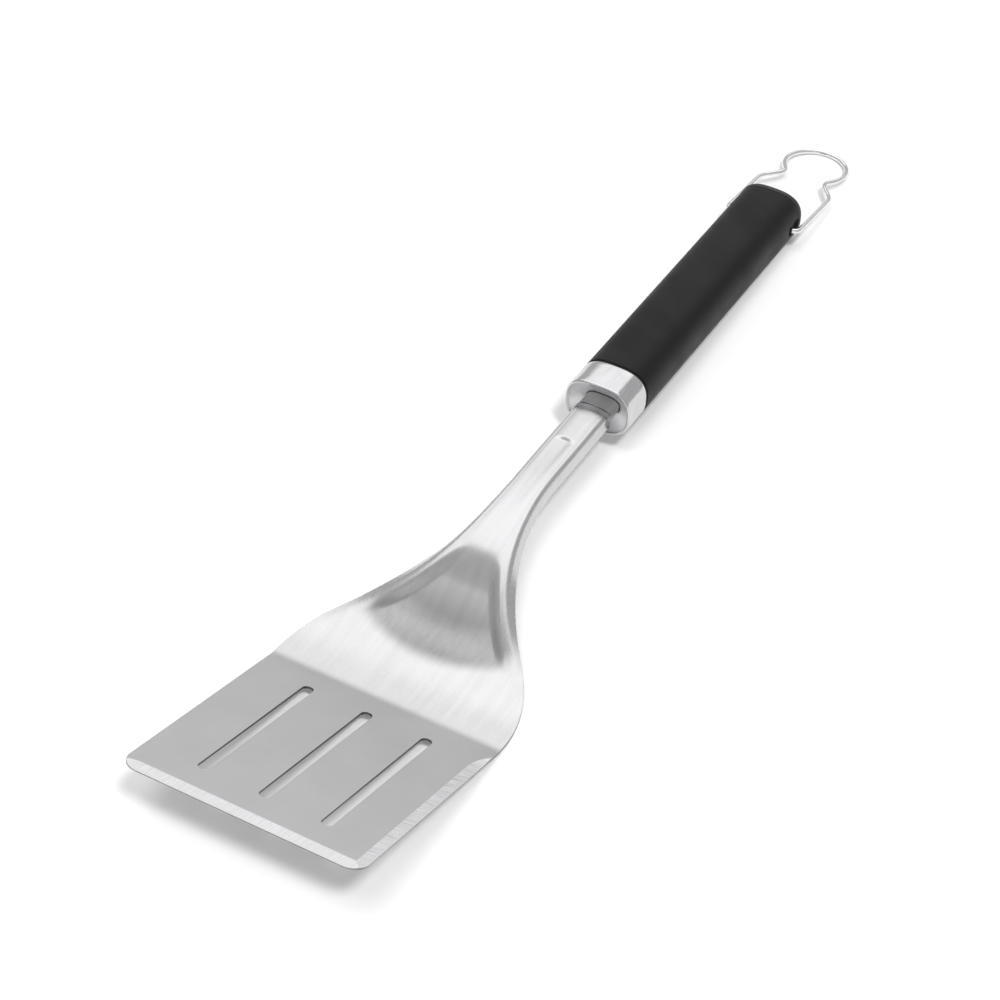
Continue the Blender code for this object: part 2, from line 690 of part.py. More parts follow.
def handle_matrix():
    """The handle frame, placed so that the shaft's end meets the insert."""
    x, z, _ = profile_at(SHEET_LENGTH)
    along = Vector((cos(HANDLE_PITCH), 0, sin(HANDLE_PITCH)))
    up = Vector((-sin(HANDLE_PITCH), 0, cos(HANDLE_PITCH)))
    origin = Vector((x, 0, z)) + along * SEAM_TO_COLLAR - up * CROWN_ABOVE_AXIS
    return Matrix.Translation(origin) @ Matrix.Rotation(-HANDLE_PITCH, 4, "Y")


def rest_tilt(handle_local):
    """The angle that brings the heel's underside and the grip's end down to one level."""
    lip = handle_local @ Vector((HANDLE_END - END_CAP_RADIUS, 0, -GRIP_END_HALF[1]))
    steepest = 0.0
    for i in range(200):
        x, z, pitch = profile_at(SHOULDER_START + (FLANK_FULL - SHOULDER_START) * i / 200)
        steepest = max(steepest, (lip.z - z + SHEET * cos(pitch)) / (lip.x - x - SHEET * sin(pitch)))
    return atan(steepest)


def loop_droop(tilt):
    """The loop's angle below the handle's axis when its tip lies on the surface."""
    slope = tilt - HANDLE_PITCH
    pivot_height = GRIP_END_HALF[1] * cos(slope)
    pivot_height += (PIVOT_FROM_END - END_CAP_RADIUS) * sin(slope)
    reach = LOOP_EYE_CENTRE + LOOP_EYE_RADIUS
    return asin((pivot_height - WIRE_RADIUS - LOOP_FLOOR_GAP) / reach) - slope


def lowest_and_middle():
    """The lowest height of all the parts and the middle of their box, in world axes."""
    bpy.context.view_layer.update()
    graph = bpy.context.evaluated_depsgraph_get()
    low, high = Vector((1e9,) * 3), Vector((-1e9,) * 3)
    for obj in PARTS.objects:
        if obj.type == "EMPTY":
            continue
        evaluated = obj.evaluated_get(graph)
        mesh = evaluated.to_mesh()
        for vertex in mesh.vertices:
            place = evaluated.matrix_world @ vertex.co
            low = Vector(map(min, low, place))
            high = Vector(map(max, high, place))
        evaluated.to_mesh_clear()
    return low.z, (low + high) / 2


clear_scene()
PARTS = new_collection("grill_spatula")
CUTTERS = new_collection("cutters")

brushed_steel = new_material("brushed_steel", (0.62, 0.62, 0.63), 0.32, 1.0)
polished_steel = new_material("polished_steel", (0.66, 0.66, 0.67), 0.12, 1.0)
chrome = new_material("chrome", (0.80, 0.80, 0.81), 0.06, 1.0)
soft_grip = new_material("soft_grip", (0.030, 0.030, 0.032), 0.62, 0.0)
rigid_plastic = new_material("rigid_plastic", (0.045, 0.045, 0.048), 0.45, 0.0)
black_rubber = new_material("black_rubber", (0.010, 0.010, 0.011), 0.70, 0.0)
plated_steel = new_material("plated_steel", (0.55, 0.55, 0.54), 0.35, 1.0)

handle_local = handle_matrix()
tilt = rest_tilt(handle_local)
blade_frame = new_empty("blade_frame", None, Matrix.Rotation(tilt, 4, "Y"))
handle_frame = new_empty("handle_frame", blade_frame, handle_local)
pivot_turn = Matrix.Rotation(loop_droop(tilt), 4, "Y")
loop_pivot = new_empty("loop_pivot", handle_frame, Matrix.Translation((PIVOT, 0, 0)) @ pivot_turn)

build_sheet(blade_frame, brushed_steel)
build_insert(handle_frame, polished_steel)
build_collar(handle_frame, chrome)
build_gasket(handle_frame, black_rubber)
build_core(handle_frame, rigid_plastic)
build_grip(handle_frame, soft_grip)
build_fasteners(handle_frame, plated_steel)
build_end_cap(handle_frame, rigid_plastic)
build_bushes(handle_frame, rigid_plastic)
build_loop(loop_pivot, chrome)

floor_height, box_middle = lowest_and_middle()
blade_frame.location = (-box_middle.x, -box_middle.y, -floor_height)
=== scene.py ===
"""Looks of the grill spatula: a slotted steel blade and shaft, a chrome collar, a soft grip, a wire loop.

Metres, +Z up, +X towards the hanging loop. Shapes are worked out in the blade's frame (front edge at x = 0,
flat top in its XY plane), in the handle's frame (from the collar's rim) or in the loop's frame (from its
pivot), and are then placed in the shared frame.
"""

from math import acos, asin, atan, cos, hypot, pi, radians, sin, sqrt, tan

import bmesh
import bpy
import numpy as np
from mathutils import Matrix, Vector
from mathutils.geometry import delaunay_2d_cdt


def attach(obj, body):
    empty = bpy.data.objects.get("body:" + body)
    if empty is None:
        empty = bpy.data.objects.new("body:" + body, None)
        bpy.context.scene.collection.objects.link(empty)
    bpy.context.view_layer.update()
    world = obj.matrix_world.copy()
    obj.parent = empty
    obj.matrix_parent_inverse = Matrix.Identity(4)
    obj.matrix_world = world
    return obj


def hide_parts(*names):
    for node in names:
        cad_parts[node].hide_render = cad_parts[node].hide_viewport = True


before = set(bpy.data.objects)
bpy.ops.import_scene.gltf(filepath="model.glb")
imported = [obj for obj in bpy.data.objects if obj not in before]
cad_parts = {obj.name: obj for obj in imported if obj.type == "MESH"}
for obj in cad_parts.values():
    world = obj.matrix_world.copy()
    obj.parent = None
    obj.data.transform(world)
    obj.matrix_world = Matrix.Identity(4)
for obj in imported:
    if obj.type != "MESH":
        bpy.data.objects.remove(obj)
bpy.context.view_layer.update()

# --- Sizes ---

SHEET = 0.00115
GAP = 0.0003  # between pieces that touch
BLADE_ORIGIN = (-0.2496029, 0.0, 0.0370405)  # middle of the blade's front edge

BLADE_WIDTH = 0.1000
BLADE_FLAT = 0.1040
BLADE_CORNER = 0.0070
FLAT_END = 0.1025  # where the flat plate's mesh meets the pressed neck's
EDGE = 0.00012  # radius of the sheet's stamped edges
SHOULDER_START = 0.1090
SHOULDER_RADIUS = 0.0576
SHOULDER_ANGLE = radians(36.3)
WAIST_RADIUS = 0.1237
SHAFT_HALF_WIDTH = 0.0083
SHAFT_CROWN = 0.0008
SHAFT_PITCH = radians(17.0)
PROFILE = (
    ("run", BLADE_FLAT, None),
    ("arc", 0.0180, radians(13.5)),
    ("run", 0.0070, None),
    ("arc", 0.0637, radians(26.4)),
    ("run", 0.0070, None),
    ("arc", 0.0364, radians(47.8)),
    ("run", 0.0045, None),
    ("arc", 0.1413, SHAFT_PITCH),
    ("run", 0.0452, None),
)

SLOT_COUNT = 3
SLOT_PITCH = 0.02587
SLOT_WIDTH = 0.00458
SLOT_START = 0.01655
SLOT_LENGTH = 0.07722

BEVEL_SLOPE = 0.13  # depth per width of the ground edges
FRONT_BEVEL = 0.0052
FRONT_BEVEL_ROUND = (0.0440, 0.0500, 0.0024)  # where its inner line bends forward at the left, and how far
SIDE_BEVEL = 0.0044
SIDE_BEVEL_ROUND = (0.0840, 0.0990)

FLANK_RADIUS = 0.0025
FLANK_LENGTH = 0.0040
FLANK_ANGLE = radians(85.0)
FLANK_START = 0.1190
FLANK_FULL = 0.2163
RIM_FLAT = 0.0005
DISH_START = 0.1315
DISH_BOW = 0.0090
DISH_BOW_AT = 0.0300
DISH_RAMP = 0.0220
DISH_FADE = (0.1670, 0.1860)
DISH_DEPTH = 0.0028
DISH_WALL = 0.0030
DISH_WIDENING = 0.0100
GROOVE_FLOOR_SHARE = 0.49
GROOVE_WALL_SHARE = 0.40
GROOVE_DEPTH = 0.0011
GROOVE_START = 0.1800
GROOVE_TO_SEAM = 0.0225
GROOVE_END_RAMP = 0.0028

HANDLE_PITCH = radians(16.0)
SEAM_TO_COLLAR = 0.0033
CROWN_ABOVE_AXIS = 0.0037
SQUARENESS = 2.73
INSERT_HALF = (0.0076, 0.0039)
INSERT_DROP = 0.0003
INSERT_SEAM = 0.0004
INSERT_REAR = 0.0200
SPIGOT_LENGTH = 0.0180
SPIGOT_HALF_HEIGHT = 0.0019

COLLAR_LENGTH = 0.0154
COLLAR_HALF = (0.0149, 0.01189)
COLLAR_RIM = 0.0013
COLLAR_WALL = 0.0020
FUNNEL_DEPTH = 0.0055
COLLAR_WEB = 0.0022
REAR_RIM = 0.0004
RIM_INNER_SHARE = 0.35  # depth of the rim's inner half
GASKET = 0.0006
GASKET_INSET = 0.0002
GRIP_LENGTH = 0.1480
GRIP_END_HALF = (0.0147, 0.01177)
GRIP_WALL = 0.0030
GRIP_EDGE = 0.0003
END_CAP = 0.0030
END_CAP_RADIUS = 0.0013
END_PLUG = 0.0040

PIVOT_FROM_END = 0.0105
WIRE_RADIUS = 0.00115
SHOWN_WIRE_RADIUS = WIRE_RADIUS * 0.985  # keeps the round wire inside the CAD's box
LOOP_HALF_WIDTH = 0.0174
LOOP_LEG_END = 0.0085
LOOP_LEG_BEND = 0.0026
LOOP_SHOULDER = 0.0360
LOOP_SHOULDER_BEND = 0.0085
LOOP_WAIST = (0.0465, 0.0092)
LOOP_WAIST_BEND = 0.0050
LOOP_EYE_RADIUS = 0.01435
LOOP_EYE_CENTRE = 0.0590
LOOP_FLOOR_GAP = 0.0002
BUSH_RADIUS = 0.0024
RECESS_WIDTH = 0.0056
RECESS_DEPTH = 0.0014
RECESS_LENGTH = 0.0050
RECESS_SOFT = 0.0004
HOLE_DEPTH = 0.0012
HOLE_SOFT = 0.0002

EDGE_STEPS = 4  # faces round each of the sheet's stamped edges
DISH_SHADE_MASK = (0.002, 0.008, 0.004, 0.010)  # where the dish gets painted shade, in place of its darker reflection: lead and ramp at the front, then at the rear
SLOPE_STEP = 1e-5

SLOT_MIDDLES = [SLOT_PITCH * (i - (SLOT_COUNT - 1) / 2) for i in range(SLOT_COUNT)]
SHAFT_FLAT = SHAFT_HALF_WIDTH - FLANK_RADIUS * sin(FLANK_ANGLE) - FLANK_LENGTH * cos(FLANK_ANGLE)
GROOVE_HALF_WIDTH = GROOVE_FLOOR_SHARE * SHAFT_FLAT
GROOVE_WALL = GROOVE_WALL_SHARE * SHAFT_FLAT
GASKET_START = COLLAR_LENGTH + GAP
GRIP_START = GASKET_START + GASKET + GAP
GRIP_END = GRIP_START + GRIP_LENGTH
END_CAP_START = GRIP_END + GAP
HANDLE_END = END_CAP_START + END_CAP
PIVOT = HANDLE_END - PIVOT_FROM_END
CORE_HALF = tuple(half - GRIP_WALL - GAP for half in GRIP_END_HALF)

# --- The sheet's shape ---


def smooth(t):
    """0 to 1 with flat ends."""
    t = min(max(t, 0.0), 1.0)
    return t * t * (3 - 2 * t)


def profile_length():
    """The sheet's length along its profile."""
    pitch = 0.0
    total = 0.0
    for kind, size, target in PROFILE:
        total += size if kind == "run" else size * abs(target - pitch)
        pitch = pitch if target is None else target
    return total


SHEET_LENGTH = profile_length()


def profile_at(distance):
    """(x, z, pitch) of the sheet's top at its middle, this far along it from the front edge."""
    x = z = pitch = 0.0
    left = distance
    for kind, size, target in PROFILE:
        length = size if kind == "run" else size * abs(target - pitch)
        part = min(left, length)
        if kind == "run":
            x += part * cos(pitch)
            z += part * sin(pitch)
        elif part > 0:
            turn = (target - pitch) * part / length
            chord = 2 * size * sin(abs(turn) / 2)
            x += chord * cos(pitch + turn / 2)
            z += chord * sin(pitch + turn / 2)
            pitch += turn
        left -= part
        if left <= 0:
            break
    return x, z, pitch


def half_width(distance):
    """Half of the sheet's width in plan: straight sides, a round shoulder, a slope and a long waist."""
    half = BLADE_WIDTH / 2
    shoulder_end = SHOULDER_START + SHOULDER_RADIUS * sin(SHOULDER_ANGLE)
    shoulder_drop = SHOULDER_RADIUS * (1 - cos(SHOULDER_ANGLE))
    waist_drop = WAIST_RADIUS * (1 - cos(SHOULDER_ANGLE))
    slope_drop = half - SHAFT_HALF_WIDTH - shoulder_drop - waist_drop
    slope_end = shoulder_end + slope_drop / tan(SHOULDER_ANGLE)
    waist_end = slope_end + WAIST_RADIUS * sin(SHOULDER_ANGLE)
    if distance <= SHOULDER_START:
        return half
    if distance <= shoulder_end:
        across = distance - SHOULDER_START
        return half - SHOULDER_RADIUS + sqrt(SHOULDER_RADIUS**2 - across**2)
    if distance <= slope_end:
        return half - shoulder_drop - (distance - shoulder_end) * tan(SHOULDER_ANGLE)
    if distance <= waist_end:
        across = waist_end - distance
        return SHAFT_HALF_WIDTH + WAIST_RADIUS - sqrt(WAIST_RADIUS**2 - across**2)
    return SHAFT_HALF_WIDTH


def pressed_depth(distance, y, floor, wall):
    """Depth of the dish and the groove at this distance along the sheet and y off its middle."""
    front = dish_front(y)
    fade_start, fade_end = DISH_FADE
    fade = smooth((fade_end - distance) / (fade_end - fade_start))
    dish = DISH_DEPTH * smooth((distance - front) / DISH_RAMP) * fade
    end = SHEET_LENGTH - GROOVE_TO_SEAM
    groove = GROOVE_DEPTH * smooth((distance - GROOVE_START) / (end - GROOVE_START))
    past = max(0.0, distance - end + GROOVE_END_RAMP) / GROOVE_END_RAMP
    rounded_y = hypot(y, past * (floor + wall))
    groove *= smooth((floor + wall - rounded_y) / (2 * wall))
    return dish * smooth((floor + wall - y) / (2 * wall)) + groove


def dish_front(y):
    """Distance along the sheet of the dish's front line."""
    return DISH_START + DISH_BOW * (y / DISH_BOW_AT) ** 2


def dish_shade_share(distance, y):
    """1 in the dish, where the steel is painted darker as painted shade in place of its darker reflection,
    and 0 outside it.
    """
    floor, wall = floor_and_wall(distance)[:2]
    lead, ramp, rear_lead, rear_ramp = DISH_SHADE_MASK
    inside = smooth((distance - dish_front(y) + lead) / ramp)
    inside *= smooth((DISH_FADE[1] - rear_lead - distance) / rear_ramp)
    return inside * smooth((floor + wall - abs(y)) / wall)


def floor_and_wall(distance):
    """Half widths of the pressed floor and its wall, and the turned-down edge's sizes, at a distance."""
    half = half_width(distance) - EDGE
    share = smooth((distance - FLANK_START) / (FLANK_FULL - FLANK_START))
    angle = max(FLANK_ANGLE * share, 1e-4)
    radius = FLANK_RADIUS * FLANK_ANGLE / angle
    straight = FLANK_LENGTH * (1 + share) / 2
    turn_y = half - radius * sin(angle) - straight * cos(angle)
    floor = max(GROOVE_HALF_WIDTH, turn_y - RIM_FLAT - DISH_WALL)
    openness = min(1.0, (floor - GROOVE_HALF_WIDTH) / DISH_WIDENING)
    wall = GROOVE_WALL + (DISH_WALL - GROOVE_WALL) * openness
    return floor, wall, share, angle, radius, straight, turn_y


def half_section(distance):
    """(y, u) points of the sheet's top, from its middle to one edge, with u square to the sheet."""
    floor, wall, share, angle, radius, straight, turn_y = floor_and_wall(distance)
    across = [(floor - wall) * k / 12 for k in range(12)]
    across += [floor - wall + 2 * wall * k / 12 for k in range(13)]
    across += [floor + wall + (turn_y - floor - wall) * k / 3 for k in (1, 2, 3)]
    points = []
    for y in across:
        crown = SHAFT_CROWN * share * (y / turn_y) ** 2
        points.append((y, -crown - pressed_depth(distance, y, floor, wall)))
    start_u = points[-1][1]
    for k in range(1, 11):
        bend = angle * k / 10
        points.append((turn_y + radius * sin(bend), start_u - radius * (1 - cos(bend))))
    y, u = points[-1]
    for k in (1, 2, 3):
        run = straight * k / 3
        points.append((y + run * cos(angle), u - run * sin(angle)))
    return points


def bevel_zone(x, y):
    """Which ground edge covers this place on the plate (0 none, 1 front, 2 side) and its depth there."""
    front = max(0.0, front_bevel_line(y) - x)
    side = max(0.0, -side_bevel_line(x) - y)
    if max(front, side) < 1e-9:
        return 0, 0.0
    return (1, front * BEVEL_SLOPE) if front >= side else (2, side * BEVEL_SLOPE)


def front_bevel_line(y):
    """x of the front ground edge's inner line."""
    start, end, back = FRONT_BEVEL_ROUND
    t = min(max((y - start) / (end - start), 0.0), 1.0)
    return FRONT_BEVEL - back * t * t


def side_bevel_line(x):
    """Distance off the middle of the side ground edge's inner line, which runs out in a curve."""
    start, end = SIDE_BEVEL_ROUND
    t = min(max((x - start) / (end - start), 0.0), 1.0)
    return BLADE_WIDTH / 2 - SIDE_BEVEL * (1 - t**3)


# --- Mesh building ---


class Shell:
    """Points, faces and corner normals gathered for one closed surface."""

    def __init__(self):
        self.index = {}
        self.points, self.flow, self.faces = [], [], []
        self.normals, self.grind, self.cut = [], [], []

    def point(self, place, flow):
        key = tuple(round(c * 1e7) for c in place)
        if key not in self.index:
            self.index[key] = len(self.points)
            self.points.append(tuple(place))
            self.flow.append(tuple(flow))
        return self.index[key]

    def face(self, corners, normals, grind=0.0, cut=0.0):
        """A face from point numbers, wound to agree with its normals; collapsed corners drop out."""
        kept = []
        for corner, normal in zip(corners, normals):
            if corner not in [c for c, _ in kept]:
                kept.append((corner, normal))
        if len(kept) < 3:
            return
        a, b, c = (Vector(self.points[k[0]]) for k in kept[:3])
        facing = sum((Vector(k[1]) for k in kept), Vector())
        turned = (b - a).cross(c - a)
        if len(kept) == 4:
            turned += (c - a).cross(Vector(self.points[kept[3][0]]) - a)
        if turned.dot(facing) < 0:
            kept.reverse()
        self.faces.append([k[0] for k in kept])
        self.normals += [tuple(k[1]) for k in kept]
        self.grind += [grind] * len(kept)
        self.cut += [cut] * len(kept)


def link(name, data):
    """A new object in the scene."""
    obj = bpy.data.objects.new(name, data)
    bpy.context.scene.collection.objects.link(obj)
    return obj


def add_piece(name, mesh, material, body, nodes):
    """Links a finished mesh as a piece that stands for the given CAD nodes."""
    obj = link(name, mesh)
    mesh.materials.append(material)
    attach(obj, body)
    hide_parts(*nodes)
    return obj


def store(mesh, name, kind, domain, key, values):
    """Stores one attribute on a mesh."""
    layer = mesh.attributes.new(name, kind, domain)
    layer.data.foreach_set(key, np.asarray(values, np.float32).ravel())


def outline_ring(points):
    """Unit normals, pointing right of the way of travel, for an open or closed run of (x, y) points."""
    places = np.array(points)
    closed = np.allclose(places[0], places[-1])
    if closed:
        ahead = np.roll(places[:-1], -1, axis=0) - np.roll(places[:-1], 1, axis=0)
        ahead = np.vstack([ahead, ahead[:1]])
    else:
        ahead = np.gradient(places, axis=0)
    ahead /= np.linalg.norm(ahead, axis=1)[:, None]
    return np.stack([ahead[:, 1], -ahead[:, 0]], axis=1)


def plate_outline(side_steps=40, corner_steps=24, front_steps=30):
    """The blade's edge from the neck's left side round the front to its right side."""
    half = BLADE_WIDTH / 2
    inner = half - BLADE_CORNER
    straight = [FLAT_END * (1 - k / side_steps) for k in range(side_steps + 1)]
    straight = [x for x in straight if x > BLADE_CORNER]
    points = [(x, half) for x in straight]
    for side in (1, -1):
        arc = []
        for k in range(corner_steps + 1):
            angle = pi / 2 * k / corner_steps
            arc.append((BLADE_CORNER * (1 - sin(angle)), side * (inner + BLADE_CORNER * cos(angle))))
        points += arc if side > 0 else arc[::-1]
        if side > 0:
            points += [(0.0, inner * (1 - 2 * k / front_steps)) for k in range(1, front_steps)]
    return points + [(x, -half) for x in straight[::-1]]


def slot_outline(y, steps=20):
    """A slot's edge, clockwise, closed."""
    radius = SLOT_WIDTH / 2
    ends = ((SLOT_START + radius, pi / 2), (SLOT_START + SLOT_LENGTH - radius, -pi / 2))
    points = []
    for centre, first in ends[::-1]:
        for k in range(steps + 1):
            angle = first + pi * k / steps
            points.append((centre + radius * cos(angle), y + radius * sin(angle)))
    points.append(points[0])
    return points[::-1]


def edge_round(shell, outline):
    """The stamped edge along an outline, rounded at the top and the bottom. Returns its two rims."""
    turns = [pi / 2 * k / EDGE_STEPS for k in range(EDGE_STEPS + 1)]
    made = []
    for (x, y), (nx, ny) in zip(outline, outline_ring(outline)):
        depth = bevel_zone(x - nx * EDGE, y - ny * EDGE)[1]
        column = []
        for angle, side in [(turn, 1) for turn in turns] + [(turn, -1) for turn in turns[::-1]]:
            inset = EDGE * (1 - sin(angle))
            drop = EDGE * (1 - cos(angle))
            place = (x - nx * inset, y - ny * inset, -depth - drop if side > 0 else -SHEET + drop)
            normal = (nx * sin(angle), ny * sin(angle), side * cos(angle))
            column.append((shell.point(place, place), normal))
        made.append(column)
    for first, second in zip(made, made[1:]):
        for k in range(len(first) - 1):
            corners = (first[k], first[k + 1], second[k + 1], second[k])
            shell.face([c[0] for c in corners], [c[1] for c in corners], cut=float(k == EDGE_STEPS))
    return [m[0][0] for m in made], [m[-1][0] for m in made]


def fill_plate(shell, loops, creases, height, facing):
    """Fills between closed loops of point numbers, split along the creases, at a height given by place."""
    places, edges, numbers = [], [], []
    for loop in loops:
        base = len(places)
        for number in loop:
            places.append(Vector(shell.points[number][:2]))
            numbers.append(number)
        edges += [(base + i, base + (i + 1) % len(loop)) for i in range(len(loop))]
    for crease in creases:
        base = len(places)
        places += [Vector(p) for p in crease]
        numbers += [None] * len(crease)
        edges += [(base + i, base + i + 1) for i in range(len(crease) - 1)]
    verts, _, faces, origin, _, _ = delaunay_2d_cdt(places, edges, [], 1, 1e-8)
    made = []
    for vert, sources in zip(verts, origin):
        known = [numbers[i] for i in sources if numbers[i] is not None]
        if known:
            made.append(known[0])
        else:
            made.append(shell.point((vert.x, vert.y, height(vert.x, vert.y)), (vert.x, vert.y, 0.0)))
    for face in faces:
        middle = sum((verts[i] for i in face), Vector((0, 0))) / len(face)
        if in_slot(middle.x, middle.y):
            continue
        zone = bevel_zone(middle.x, middle.y)[0] if facing > 0 else 0
        corners = [made[i] for i in face]
        normals = [zone_normal(zone, *shell.points[c][:2], facing) for c in corners]
        shell.face(corners, normals, float(zone))


def zone_normal(zone, x, y, facing):
    """The plate's normal in a zone. facing is 1 for the top and -1 for the underside."""
    if facing < 0 or not zone:
        return (0.0, 0.0, float(facing))
    line, place = (front_bevel_line, y) if zone == 1 else (side_bevel_line, x)
    slope = BEVEL_SLOPE * (line(place + SLOPE_STEP) - line(place - SLOPE_STEP)) / (2 * SLOPE_STEP)
    return tuple(Vector((-BEVEL_SLOPE, slope, 1) if zone == 1 else (-slope, -BEVEL_SLOPE, 1)).normalized())


def in_slot(x, y):
    """Whether a place is inside one of the slots."""
    radius = SLOT_WIDTH / 2
    along = min(max(x, SLOT_START + radius), SLOT_START + SLOT_LENGTH - radius)
    return any(hypot(x - along, y - middle) < radius for middle in SLOT_MIDDLES)


def neck_stations():
    """Distances along the sheet from the plate's end to the seam, close together where it bends sharply."""
    groove_end = SHEET_LENGTH - GROOVE_TO_SEAM
    places = [FLAT_END, BLADE_FLAT - 0.0003]
    reach = BLADE_FLAT
    while reach < SHEET_LENGTH - EDGE - 0.0004:
        places.append(reach)
        near_end = groove_end - GROOVE_END_RAMP - 0.0006 < reach < groove_end + 0.0006
        near_fold = reach < BLADE_FLAT + 0.0045
        reach += 0.0002 if near_end else 0.0004 if near_fold else 0.0009
    return places + [SHEET_LENGTH - EDGE]


def neck_rows():
    """The neck and the shaft as a grid of top points with their normals and outward rims."""
    places = neck_stations()
    sections, flows = [], []
    for distance in places:
        x, z, pitch = profile_at(distance)
        right = half_section(distance)
        if distance <= BLADE_FLAT - 0.0002:
            right = [(y, 0.0) for y, _ in right]
        section = [(-y, u) for y, u in right[:0:-1]] + right
        sections.append([(x - u * sin(pitch), y, z + u * cos(pitch)) for y, u in section])
        flows.append([(distance, y, u) for y, u in section])
    grid = np.array(sections)
    along = np.gradient(grid, np.array(places), axis=0)
    across = np.gradient(grid, axis=1)
    normals = np.cross(along, across)
    normals /= np.linalg.norm(normals, axis=2)[:, :, None]
    normals[:2] = (0.0, 0.0, 1.0)
    outward = {}
    for column, sign in ((0, -1), (-1, 1)):
        out = across[:, column] * sign
        out -= normals[:, column] * np.sum(out * normals[:, column], axis=1)[:, None]
        out /= np.linalg.norm(out, axis=1)[:, None]
        out[:2] = (0.0, float(sign), 0.0)
        outward[column] = out
    return grid, np.array(flows), normals, outward


def build_neck(shell):
    """Adds the neck and shaft. Returns the ring of points at the plate's end and how many are on top."""
    grid, flows, normals, outward = neck_rows()
    count = grid.shape[1]
    rows = []
    for top, up, flow, left, right in zip(grid, normals, flows, outward[0], outward[-1]):
        ring = list(zip(top, up, flow))
        ring += rim_points(top[-1], up[-1], right, flow[-1])
        ring += list(zip(top - up * SHEET, -up, flow))[::-1]
        ring += rim_points(top[0], up[0], left, flow[0])[::-1]
        rows.append(ring)
    made = [[shell.point(place, flow) for place, _, flow in ring] for ring in rows]
    total = len(made[0])
    cut_faces = (count + EDGE_STEPS - 1, 2 * count + 3 * EDGE_STEPS - 1)
    for near, far, row, next_row in zip(made, made[1:], rows, rows[1:]):
        for j in range(total):
            k = (j + 1) % total
            facing = (row[j][1], row[k][1], next_row[k][1], next_row[j][1])
            shell.face((near[j], near[k], far[k], far[j]), facing, cut=float(j in cut_faces))
    close_seam(shell, rows[-1], made[-1], count)
    return made[0], count


def rim_points(place, normal, out, flow):
    """The rounded edge from the top's rim over to the bottom's rim, both ends left out."""
    points = []
    for k in range(1, EDGE_STEPS + 1):
        angle = pi / 2 * k / EDGE_STEPS
        shift = out * EDGE * sin(angle) - normal * EDGE * (1 - cos(angle))
        points.append((place + shift, normal * cos(angle) + out * sin(angle), flow))
    for k in range(EDGE_STEPS):
        angle = pi / 2 * (1 - k / EDGE_STEPS)
        shift = out * EDGE * sin(angle) - normal * (SHEET - EDGE * (1 - cos(angle)))
        points.append((place + shift, -normal * cos(angle) + out * sin(angle), flow))
    return points


def close_seam(shell, ring, made, count):
    """Rounds the sheet's end over at the seam and closes it."""
    pitch = profile_at(SHEET_LENGTH)[2]
    ahead = np.array((cos(pitch), 0.0, sin(pitch)))
    total = len(ring)
    centres = [place - normal * EDGE for place, normal, _ in ring]
    numbers, facing = made, [normal for _, normal, _ in ring]
    for k in range(1, EDGE_STEPS + 1):
        angle = pi / 2 * k / EDGE_STEPS
        new_numbers, new_facing = [], []
        for centre, (_, normal, flow) in zip(centres, ring):
            place = centre + normal * EDGE * cos(angle) + ahead * EDGE * sin(angle)
            new_numbers.append(shell.point(place, flow))
            new_facing.append(normal * cos(angle) + ahead * sin(angle))
        for j in range(total):
            n = (j + 1) % total
            corners = (numbers[j], numbers[n], new_numbers[n], new_numbers[j])
            shell.face(corners, (facing[j], facing[n], new_facing[n], new_facing[j]))
        numbers, facing = new_numbers, new_facing
    under = 2 * (count + EDGE_STEPS) - 1  # the underside's last point, below the top's first
    pairs = [(j, under - j) for j in range(count)]
    for (a, b), (c, d) in zip(pairs, pairs[1:]):
        shell.face((numbers[a], numbers[c], numbers[d], numbers[b]), [ahead] * 4)
    for start in (count - 1, under):
        fan = [numbers[(start + k) % total] for k in range(2 * EDGE_STEPS + 2)]
        shell.face(fan, [ahead] * len(fan))


def build_blade(matrix, material):
    """The stamped sheet: plate with slots and ground edges, pressed neck and shaft."""
    shell = Shell()
    ring, count = build_neck(shell)
    under = ring[count + 2 * EDGE_STEPS : 2 * (count + EDGE_STEPS)]
    top, bottom = edge_round(shell, plate_outline())
    top_loops = [top + ring[1 : count - 1]]
    bottom_loops = [bottom + under[-2:0:-1]]
    for middle in SLOT_MIDDLES:
        rim, low_rim = edge_round(shell, slot_outline(middle))
        top_loops.append(rim[:-1])
        bottom_loops.append(low_rim[:-1])
    fill_plate(shell, top_loops, bevel_creases(), lambda x, y: -bevel_zone(x, y)[1], 1)
    fill_plate(shell, bottom_loops, [], lambda x, y: -SHEET, -1)

    mesh = bpy.data.meshes.new("spatula_sheet")
    mesh.from_pydata([matrix @ Vector(p) for p in shell.points], [], shell.faces)
    turn = matrix.to_3x3()
    store(mesh, "flow", "FLOAT_VECTOR", "POINT", "vector", shell.flow)
    store(mesh, "grind", "FLOAT", "CORNER", "value", shell.grind)
    store(mesh, "cut", "FLOAT", "CORNER", "value", shell.cut)
    # the dish mask carries painted shade: the steel is painted darker there in place of its darker
    # reflection
    store(mesh, "dish", "FLOAT", "POINT", "value", [dish_shade_share(*place[:2]) for place in shell.flow])
    mesh.shade_smooth()
    mesh.normals_split_custom_set([turn @ Vector(n) for n in shell.normals])
    return add_piece("spatula_sheet", mesh, material, "tool", ["blade_and_shaft"])


